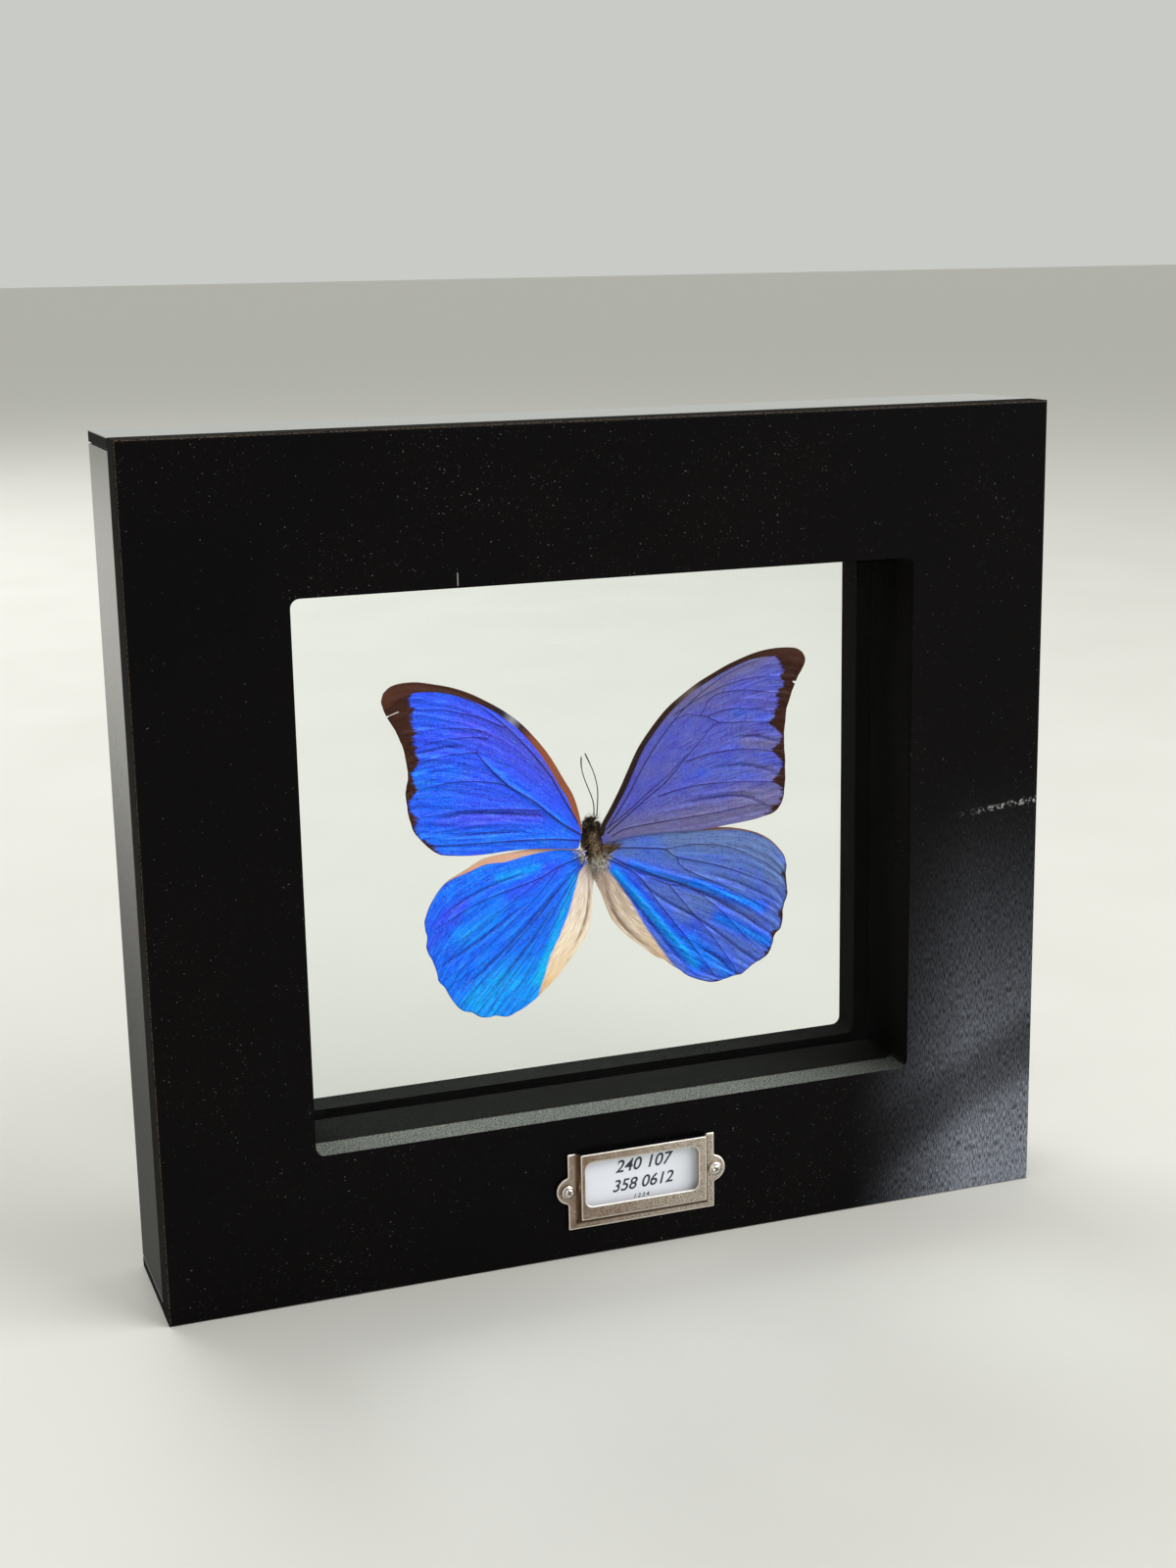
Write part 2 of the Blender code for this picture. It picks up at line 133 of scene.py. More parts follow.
def lacquer(name, colours, gloss, roughness, peel, faced="Y", sill=0.0, painted_sheen_level=0.0, foot=0.0,
            top_sheen=0.0, coat=0.0, coat_rough=0.32):
    """Black lacquer sprayed on fibreboard: a skin with a fine orange peel and upright rubbing
    marks, thin and grey along its arrises, where the grey also paints their highlight, furry on
    the cut edges, with dust where it lies, which thins out as painted shadow towards the right. It
    can also take a painted sheen on upward faces and on the right rail. faced is the axis that the
    board's two broad sides look along."""
    material, tree, shader = new_material(name, Specular_IOR_Level=gloss,
                                          Coat_Roughness=coat_rough)
    place = in_millimetres(tree)
    split = add(tree, "SeparateXYZ", (place,)).node.outputs
    pebble = add(tree, "TexNoise", {"Vector": place, "Scale": 1 / 0.9, "Detail": 2.0})
    broad = add(tree, "TexNoise", {"Vector": place, "Scale": 1 / 35, "Detail": 3.0})
    rubbed_place = in_millimetres(tree, (0.22, 0.22, 1.7))
    rubbed = add(tree, "TexNoise", {"Vector": rubbed_place, "Scale": 1.0, "Detail": 2.0})
    specks = add(tree, "TexNoise", {"Vector": place, "Scale": 1 / 0.55, "Detail": 1.0})
    fibres = add(tree, "TexNoise", {"Vector": place, "Scale": 1 / 0.45, "Detail": 4.0})

    normal = add(tree, "NewGeometry", out="Normal")
    normal = dict(zip("XYZ", add(tree, "SeparateXYZ", (normal,)).node.outputs))
    flat = add(tree, "Math", (normal[faced],), operation="ABSOLUTE")
    edge = add(tree, "MapRange", (flat, 0.6, 0.3), **SOFT)
    off_front = add(tree, "MapRange", (flat, 0.97, 0.85), **SOFT)
    arris = add(tree, "Math", (off_front, edge), operation="SUBTRACT")
    upward = add(tree, "MapRange", (normal["Z"], 0.6, 0.9), **SOFT)

    paint = add(tree, "Mix", {0: broad, 6: colours[0], 7: colours[1]}, **COLOURS)
    cut = add(tree, "Mix", {0: fibres, 6: colours[0], 7: "#13110f"}, **COLOURS)
    colour = add(tree, "Mix", {0: edge, 6: paint, 7: cut}, **COLOURS)
    # The arrises are worn thin to a tan grey, which also serves as a painted highlight along them.
    bare_and_highlit = add(tree, "Math", (arris, add(tree, "MapRange", (fibres, 0.35, 0.65), **SOFT)),
               operation="MULTIPLY")
    colour = add(tree, "Mix", {0: bare_and_highlit, 6: colour, 7: "#5a4f43"}, **COLOURS)
    low = add(tree, "MapRange", (split["Z"], 120, 60, 0.0, sill), **SOFT)
    lying = add(tree, "Math", (upward, low), operation="MULTIPLY")
    # The dust thins out towards the right end: painted shadow of the right rail over the sill.
    lying = add(tree, "Math",
                (lying, add(tree, "MapRange", (split["X"], 96, 30, 0.15, 1.0), **SOFT)),
                operation="MULTIPLY")
    dust = add(tree, "Math",
               (lying, add(tree, "MapRange", (fibres, 0.36, 0.62, 0.12, 0.85), **SOFT)),
               operation="MULTIPLY")
    colour = add(tree, "Mix", {0: dust, 6: colour, 7: "#8d908a"}, **COLOURS)
    # Painted sheen: upward faces get a pale grey film, a painted reflection of the bright
    # surround.
    if top_sheen:
        painted_top_sheen = add(tree, "Math",
                   (upward, add(tree, "MapRange", (fibres, 0.3, 0.7, 0.5 * top_sheen, top_sheen), **SOFT)),
                   operation="MULTIPLY")
        colour = add(tree, "Mix", {0: painted_top_sheen, 6: colour, 7: "#a3a59d"}, **COLOURS)
    thick = add(tree, "MapRange", (broad, 0.35, 0.65, 0.77, 0.69), **SOFT)
    colour = add(tree, "Mix", {0: add(tree, "MapRange", (specks, thick, 0.84, 0.0, 0.6), **SOFT),
                               6: colour, 7: "#77777a"}, **COLOURS)

    shine = add(tree, "MapRange", (rubbed, 0.3, 0.7, roughness - 0.04, roughness + 0.06), **SOFT)
    rough = add(tree, "Mix", {0: edge, 2: shine, 3: 0.6})
    if foot:
        dulled = add(tree, "MapRange", (split["Z"], 200, 30, 0.0, foot), **SOFT)
        rough = add(tree, "Math", (rough, dulled), operation="ADD")
    height = add(tree, "Math", (pebble, rubbed), operation="ADD")
    height = add(tree, "Mix", {0: edge, 2: height, 3: fibres})
    bump = add(tree, "Bump", {"Height": height, "Distance": 0.00005 * peel, "Strength": 0.6})

    # the satin skin lies on the broad sides only: the cut edges soak it up
    skin = add(tree, "MapRange", (edge, 1.0, 0.0, 0.0, coat), **SOFT)
    if painted_sheen_level:
        # Painted sheen: a blue-grey painted reflection on the right rail, most of all its lower
        # corner, broken up by the upright rubbing marks, with more coat there too. It grows as the
        # square of the way down and out, with one darker slanting band.
        down = add(tree, "MapRange", (split["Z"], 128.0, 0.0))
        outwards = add(tree, "MapRange", (split["X"], 66.0, 104.0))
        sheen_area = add(tree, "Math", (down, outwards), operation="MULTIPLY")
        sheen_area = add(tree, "Math", (sheen_area, 2.0), operation="POWER")
        off = add(tree, "Math", (split["X"], -0.5, split["Z"]), operation="MULTIPLY_ADD")
        off = add(tree, "Math", (off, 20.0), operation="ADD")
        off = add(tree, "Math", (off,), operation="ABSOLUTE")
        sheen_area = add(tree, "Math", (sheen_area, add(tree, "MapRange", (off, 3, 15, 0.45, 1.0), **SOFT)),
                   operation="MULTIPLY")
        sheen_area = add(tree, "Math",
                   (sheen_area, add(tree, "MapRange", (edge, 1.0, 0.0, 0.0, painted_sheen_level), **SOFT)),
                   operation="MULTIPLY")
        painted_sheen = add(tree, "Math",
                    (sheen_area, add(tree, "MapRange", (rubbed, 0.36, 0.66, 0.15, 1.6), **SOFT)),
                    operation="MULTIPLY")
        colour = add(tree, "Mix", {0: painted_sheen, 6: colour, 7: "#868b99"}, **COLOURS)
        skin = add(tree, "Math", (skin, sheen_area), operation="ADD")

        # One pale scuff across the right rail, one short upright scratch above the window
        off = add(tree, "Math", (split["X"], -0.091, split["Z"]), operation="MULTIPLY_ADD")
        off = add(tree, "Math", (off, SCUFF_Z), operation="SUBTRACT")
        scuff = add(tree, "MapRange", (add(tree, "Math", (off,), operation="ABSOLUTE"), 1.2, 0.2),
                    **SOFT)
        scuff = add(tree, "Math",
                    (scuff, add(tree, "MapRange", (split["X"], 98, 118, 0.0, 1.0), **SOFT)),
                    operation="MULTIPLY")
        scuff = add(tree, "Math",
                    (scuff, add(tree, "MapRange", (pebble, 0.48, 0.66, 0.0, 0.9), **SOFT)),
                    operation="MULTIPLY")
        off = add(tree, "Math", (split["X"], SCRATCH_X), operation="SUBTRACT")
        scratch = add(tree, "MapRange",
                      (add(tree, "Math", (off,), operation="ABSOLUTE"), 0.24, 0.08), **SOFT)
        off = add(tree, "Math", (split["Z"], SCRATCH_Z), operation="SUBTRACT")
        ends = add(tree, "MapRange",
                   (add(tree, "Math", (off,), operation="ABSOLUTE"), 1.9, 1.3, 0.0, 0.6), **SOFT)
        scratch = add(tree, "Math", (scratch, ends), operation="MULTIPLY")
        marks = add(tree, "Math", (scuff, scratch), operation="MAXIMUM")
        colour = add(tree, "Mix", {0: marks, 6: colour, 7: "#a5a5a3"}, **COLOURS)
    if coat:
        feed(tree, shader, Coat_Weight=skin)
    feed(tree, shader, Base_Color=colour, Roughness=rough, Normal=bump)
    return material


def clear_pane():
    """Thin picture glass with a coat that takes off most of its glare, so its working index is
    low. Lamps reach through it to what it covers."""
    material, tree, shader = new_material(
        "clear_picture_glass", Base_Color="#fbfdfc", Roughness=0.0, IOR=1.08,
        Transmission_Weight=1.0,
    )
    clear = add(tree, "BsdfTransparent", {"Color": linear("#f4f8f6")})
    shadow = add(tree, "LightPath", out="Is Shadow Ray")
    both = add(tree, "MixShader", (shadow, shader.outputs[0], clear))
    tree.links.new(both, tree.nodes["Material Output"].inputs["Surface"])
    return material


def satin_nickel():
    """Nickel-plated steel, pressed and tumbled: a grainy satin metal, with brown painted shade on
    the slopes that face left or down, a painted highlight on the bends that stand out, and darker
    bends that fall in.
    """
    material, tree, shader = new_material("satin_nickel_plate", Metallic=1.0)
    place = in_millimetres(tree)
    grain = add(tree, "TexNoise", {"Vector": place, "Scale": 1 / 0.22, "Detail": 3.0})
    patches = add(tree, "TexNoise", {"Vector": place, "Scale": 1 / 3.5, "Detail": 3.0})
    normal = add(tree, "NewGeometry", out="Normal")
    x, y, z = add(tree, "SeparateXYZ", (normal,)).node.outputs
    flat = add(tree, "Math", (y,), operation="ABSOLUTE")
    sloped = add(tree, "MapRange", (flat, 0.9, 0.6), **SOFT)
    # Painted shade: slopes that face left or down are browned, as the light comes from the right.
    left_or_down = add(tree, "Math", (x, z), operation="MINIMUM")
    shaded = add(tree, "MapRange", (left_or_down, 0.0, -0.5), **SOFT)
    painted_step_shade = add(tree, "Math", (sloped, shaded), operation="MULTIPLY")
    metal = add(tree, "Mix", {0: patches, 6: "#cfc4b8", 7: "#e9e0d5"}, **COLOURS)
    spotted = add(tree, "MapRange", (grain, 0.38, 0.62), **SOFT)
    metal = add(tree, "Mix", {0: spotted, 6: "#8f8072", 7: metal}, **COLOURS)
    across = add(tree, "SeparateXYZ", (place,)).node.outputs["X"]
    browned = add(tree, "Math",
                  (add(tree, "MapRange", (across, 20, -16, 0.1, 1.2), **SOFT), patches),
                  operation="MULTIPLY")
    metal = add(tree, "Mix", {0: browned, 6: metal, 7: "#7d604a"}, **COLOURS)
    # a dark line along the flange just under the raised face
    line_under_face = add(tree, "SeparateXYZ", (place,)).node.outputs["Z"]
    line_under_face = add(tree, "Math", (line_under_face, 10.7), operation="SUBTRACT")
    line_under_face = add(tree, "MapRange",
               (add(tree, "Math", (line_under_face,), operation="ABSOLUTE"), 0.9, 0.5, 0.0, 0.85), **SOFT)
    reach = add(tree, "Math", (across, 4.1), operation="SUBTRACT")
    reach = add(tree, "Math", (reach,), operation="ABSOLUTE")
    line_under_face = add(tree, "Math", (line_under_face, add(tree, "MapRange", (reach, 19.6, 19.0), **SOFT)),
               operation="MULTIPLY")
    bulge = add(tree, "Attribute", out="Fac", attribute_name="bulge")
    # Painted highlight: near white on the bends that stand out.
    metal = add(tree, "Mix", {0: add(tree, "MapRange", (bulge, 0.002, 0.009, 0.0, 0.9), **SOFT),
                              6: metal, 7: "#fbf6ee"}, **COLOURS)
    colour = add(tree, "Mix", {0: painted_step_shade, 6: metal, 7: "#957761"}, **COLOURS)
    # Darker in the bends that fall in.
    colour = add(tree, "Mix", {0: add(tree, "MapRange", (bulge, -0.002, -0.009, 0.0, 0.75), **SOFT),
                               6: colour, 7: "#3f2a1d"}, **COLOURS)
    colour = add(tree, "Mix", {0: line_under_face, 6: colour, 7: "#4a3425"}, **COLOURS)
    rough = add(tree, "MapRange", (grain, 0.3, 0.7, 0.26, 0.38), **SOFT)
    bump = add(tree, "Bump", {"Height": grain, "Distance": 0.00004, "Strength": 0.5})
    feed(tree, shader, Base_Color=colour, Roughness=rough, Normal=bump)
    return material


def bright_nickel():
    """The pins' heads: the same plating, but rounder and more rubbed, so brighter."""
    material, tree, shader = new_material("bright_nickel_pins", Metallic=1.0)
    place = in_millimetres(tree)
    grain = add(tree, "TexNoise", {"Vector": place, "Scale": 1 / 0.3, "Detail": 2.0})
    bump = add(tree, "Bump", {"Height": grain, "Distance": 0.00003, "Strength": 0.4})
    slot = add(tree, "Attribute", out="Fac", attribute_name="slot")
    # Painted shade: dark brown in the cross slots.
    colour = add(tree, "Mix", {0: slot, 6: "#f1ebe2", 7: "#2c2018"}, **COLOURS)
    feed(tree, shader, Base_Color=colour,
         Roughness=add(tree, "MapRange", (grain, 0.3, 0.7, 0.16, 0.28), **SOFT), Normal=bump)
    return material


def card_stock():
    """Uncoated white card: matt, very faintly blue, with short fibres."""
    material, tree, shader = new_material("white_card_stock", Roughness=0.85)
    place = in_millimetres(tree)
    fibre = add(tree, "TexNoise", {"Vector": place, "Scale": 1 / 0.35, "Detail": 4.0})
    bump = add(tree, "Bump", {"Height": fibre, "Distance": 0.00002, "Strength": 0.4})
    feed(tree, shader,
         Base_Color=add(tree, "Mix", {0: fibre, 6: "#dfe3ef", 7: "#f3f5fb"}, **COLOURS),
         Normal=bump)
    return material


def printed_ink():
    """Toner on card: dark grey-blue, a little broken up."""
    material, tree, shader = new_material("printed_toner", Roughness=0.6)
    place = in_millimetres(tree)
    wear = add(tree, "TexNoise", {"Vector": place, "Scale": 1 / 0.2, "Detail": 2.0})
    feed(tree, shader,
         Base_Color=add(tree, "Mix", {0: add(tree, "MapRange", (wear, 0.45, 0.85), **SOFT),
                                      6: "#232634", 7: "#5c6174"}, **COLOURS))
    return material


# ---------------------------------------------------------------- making meshes

def piece(name, points, faces, materials, shade=True, kinds=None, attributes=None, uv=None):
    """A mesh object from arrays, in millimetres. Faces are rows of three or four corners."""
    mesh = bpy.data.meshes.new(name)
    corners = faces.shape[1]
    mesh.vertices.add(len(points))
    mesh.vertices.foreach_set("co", (np.asarray(points) * MM).astype(np.float32).ravel())
    mesh.loops.add(faces.size)
    mesh.loops.foreach_set("vertex_index", faces.astype(np.int32).ravel())
    mesh.polygons.add(len(faces))
    mesh.polygons.foreach_set("loop_start", np.arange(0, faces.size, corners, dtype=np.int32))
    if kinds is not None:
        mesh.polygons.foreach_set("material_index", kinds.astype(np.int32))
    mesh.update(calc_edges=True)
    mesh.validate()
    mesh.polygons.foreach_set("use_smooth", np.full(len(mesh.polygons), shade))
    for label, values in (attributes or {}).items():
        layer = mesh.attributes.new(label, "FLOAT", "POINT")
        layer.data.foreach_set("value", values.astype(np.float32))
    if uv is not None:
        layer = mesh.uv_layers.new(name="fan")
        layer.data.foreach_set("uv", uv[faces.ravel()].astype(np.float32).ravel())
    for material in materials:
        mesh.materials.append(material)
    obj = bpy.data.objects.new(name, mesh)
    bpy.context.scene.collection.objects.link(obj)
    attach(obj, "root")
    return obj


def smooth_line(points, count):
    """A Catmull-Rom curve through the points, in count places evenly spaced along it."""
    points = np.array(points, float)
    ends = np.vstack([2 * points[0] - points[1], points, 2 * points[-1] - points[-2]])
    a, b, c, d = ends[:-3, None], ends[1:-2, None], ends[2:-1, None], ends[3:, None]
    t = np.linspace(0, 1, 24, endpoint=False)[None, :, None]
    curve = 0.5 * (2 * b + (c - a) * t + (2 * a - 5 * b + 4 * c - d) * t**2
                   + (3 * b - a - 3 * c + d) * t**3)
    curve = np.vstack([curve.reshape(-1, points.shape[1]), points[-1]])
    run = np.r_[0, np.cumsum(np.linalg.norm(np.diff(curve, axis=0), axis=1))]
    places = np.linspace(0, run[-1], count)
    return np.stack([np.interp(places, run, axis) for axis in curve.T], axis=1)


def distance_to(points, line):
    """Each point's distance to a polyline, and how far along the line the nearest place is."""
    start, along = line[:-1], np.diff(line, axis=0)
    away = points[:, None, :] - start[None]
    share = np.clip((away * along).sum(2) / (along**2).sum(1), 0, 1)
    gap = np.linalg.norm(away - share[..., None] * along, axis=2)
    nearest = gap.argmin(1)
    rows = np.arange(len(points))
    return gap[rows, nearest], (nearest + share[rows, nearest]) / len(along)


# ---------------------------------------------------------------- the wings

class Wing:
    """One wing's drawing: three edges from the root, its veins, and where its colour changes.

    Veins are (half-width in mm at the root end, points). Strokes are soft brush marks:
    (field, amount, width in mm, from, to).
    """

    def __init__(self, name, side, plane, costa, margin, inner, veins, folds, strokes,
                 band, costa_band, levels, gaps=(), eyespots=(), anal=None):
        self.name, self.side, self.plane = name, side, plane
        self.costa, self.margin, self.inner = costa, margin, inner
        self.veins, self.folds, self.strokes = veins, folds, strokes
        self.band, self.costa_band, self.levels = band, costa_band, levels
        self.gaps, self.eyespots, self.anal = gaps, eyespots, anal


ALONG = 170  # cells from the root to the outer margin
ACROSS = 230  # cells from the costa to the inner edge


def ruled_grid(wing):
    """A Coons patch: each place is the costa and inner edge mixed across, plus the root and
    outer margin mixed along, less the four corners mixed both ways."""
    s = np.linspace(0, 1, ALONG + 1)[:, None, None]
    t = np.linspace(0, 1, ACROSS + 1)[None, :, None]
    costa = smooth_line(wing.costa, ALONG + 1)[:, None]
    inner = smooth_line(wing.inner, ALONG + 1)[:, None]
    root = smooth_line((wing.costa[0], wing.inner[0]), ACROSS + 1)[None]
    margin = smooth_line(wing.margin, ACROSS + 1)[None]
    corners = ((1 - s) * (1 - t) * costa[0] + (1 - s) * t * inner[0]
               + s * (1 - t) * costa[-1] + s * t * inner[-1])
    return (1 - t) * costa + t * inner + (1 - s) * root + s * margin - corners


def closed_sheet(front, back, keep):
    """Two grids joined round the rim of the kept cells. Returns points, faces and their kinds."""
    index = np.arange(front.shape[0] * front.shape[1]).reshape(front.shape[:2])
    ring = (index[:-1, :-1], index[:-1, 1:], index[1:, 1:], index[1:, :-1])
    cells = np.stack(ring, axis=-1)[keep]
    edges = cells[:, [0, 1, 1, 2, 2, 3, 3, 0]].reshape(-1, 2)
    key = edges.min(1) * index.size + edges.max(1)
    _, inverse, uses = np.unique(key, return_inverse=True, return_counts=True)
    rim = edges[uses[inverse] == 1]
    walls = np.c_[rim[:, 1], rim[:, 0], rim[:, 0] + index.size, rim[:, 1] + index.size]
    faces = np.concatenate([cells, cells[:, ::-1] + index.size, walls])
    kinds = np.repeat([0, 1, 1], [len(cells), len(cells), len(walls)])
    points = np.concatenate([front.reshape(-1, 3), back.reshape(-1, 3)])
    used, faces = np.unique(faces, return_inverse=True)
    return points[used], faces.reshape(-1, 4), kinds, used


def wing_surface(wing, dorsal, ventral):
    """A thin closed sheet. Its relief is a ridge along each vein, a hollow between veins, long
    soft pleats along the folds and a slight flutter that grows towards the margin."""
    grid = ruled_grid(wing)
    flat = grid.reshape(-1, 2)
    s, t = np.meshgrid(np.linspace(0, 1, ALONG + 1), np.linspace(0, 1, ACROSS + 1), indexing="ij")
    s, t = s.ravel(), t.ravel()

    vein = np.full(len(flat), 9.0)
    nearest = np.full(len(flat), 9.0)
    for width, points in wing.veins:
        gap, run = distance_to(flat, smooth_line(points, 28))
        vein = np.minimum(vein, gap - width * (1 - 0.6 * run))
        nearest = np.minimum(nearest, gap)
    relief = 0.10 * np.exp(-(nearest / 0.35) ** 2) - 0.12 * (1 - np.exp(-(nearest / 2.5) ** 2))
    shade = np.zeros(len(flat))
    for height, width, points in wing.folds:
        gap, run = distance_to(flat, smooth_line(points, 28))
        fade = np.sin(pi * np.clip(run, 0.02, 0.98)) ** 0.4
        relief += height * fade * np.exp(-(gap / width) ** 2)
        shade += -np.sign(height) * fade * np.exp(-(gap / width) ** 2)
    flutter = np.sin(2 * pi * (9 * t + 0.6 * s)) + 0.5 * np.sin(2 * pi * (21 * t + 1.7 * s))
    relief += 0.13 * s**2 * flutter

    fields = {"hue": np.full(len(flat), wing.levels["hue"]),
              "dull": np.full(len(flat), wing.levels["dull"])}
    for field, amount, width, start, end in wing.strokes:
        gap, _ = distance_to(flat, np.array([start, end], float))
        fields[field] += amount * np.exp(-(gap / width) ** 2)
    from_margin, _ = distance_to(flat, smooth_line(wing.margin, 90))
    from_costa, run = distance_to(flat, smooth_line(wing.costa, 90))
    tooth = wing.band["tooth"] * np.exp(-(nearest / 1.1) ** 2)
    reach = np.interp(flat[:, 1], *zip(*sorted(wing.band["reach"]))) + tooth
    fields["margin"] = from_margin - reach
    fields["costa"] = from_costa - np.interp(run, *zip(*wing.costa_band))
    fields["vein"] = vein
    fields["shade"] = shade
    if wing.anal:
        down, out = zip(*sorted((v, u) for u, v in wing.anal))
        fields["anal"] = np.interp(flat[:, 1], down, out) - flat[:, 0]
    spots = np.full(len(flat), 9.0)
    for u, v, radius in wing.eyespots:
        spots = np.minimum(spots, np.hypot(flat[:, 0] - u, flat[:, 1] - v) / radius)
    fields["eyespot"] = spots

    depth, rise, lean = wing.plane
    side = wing.side
    out = np.array([side * cos(rise), -sin(rise), 0])
    up = np.array([side * sin(lean) * sin(rise), sin(lean) * cos(rise), cos(lean)])
    forward = np.cross(out, up) * side
    forward *= -np.sign(forward[1])
    root = np.array([AXIS_X, depth, ROOT_Z])
    middle = root + flat[:, :1] * out + flat[:, 1:] * up + relief[:, None] * forward
    shape = (ALONG + 1, ACROSS + 1, 3)
    front = (middle + forward * MEMBRANE / 2).reshape(shape)
    back = (middle - forward * MEMBRANE / 2).reshape(shape)

    centres = (grid[:-1, :-1] + grid[1:, 1:]) / 2
    keep = np.ones(centres.shape[:2], bool)
    for width, start, end in wing.gaps:
        gap, run = distance_to(centres.reshape(-1, 2), np.array([start, end], float))
        keep &= (gap > width * (1.02 - run)).reshape(keep.shape)
    points, faces, kinds, used = closed_sheet(front, back, keep)
    if side < 0:
        faces = faces[:, ::-1]
    fields = {name: np.tile(values, 2)[used] for name, values in fields.items()}
    uv = np.tile(np.stack([s * 60, t * 45], axis=1), (2, 1))[used]
    sheet = piece(wing.name + "_scaled", points, faces, [dorsal, ventral],
                  kinds=kinds, attributes=fields, uv=uv)
    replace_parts(sheet, wing.name)
    return sheet


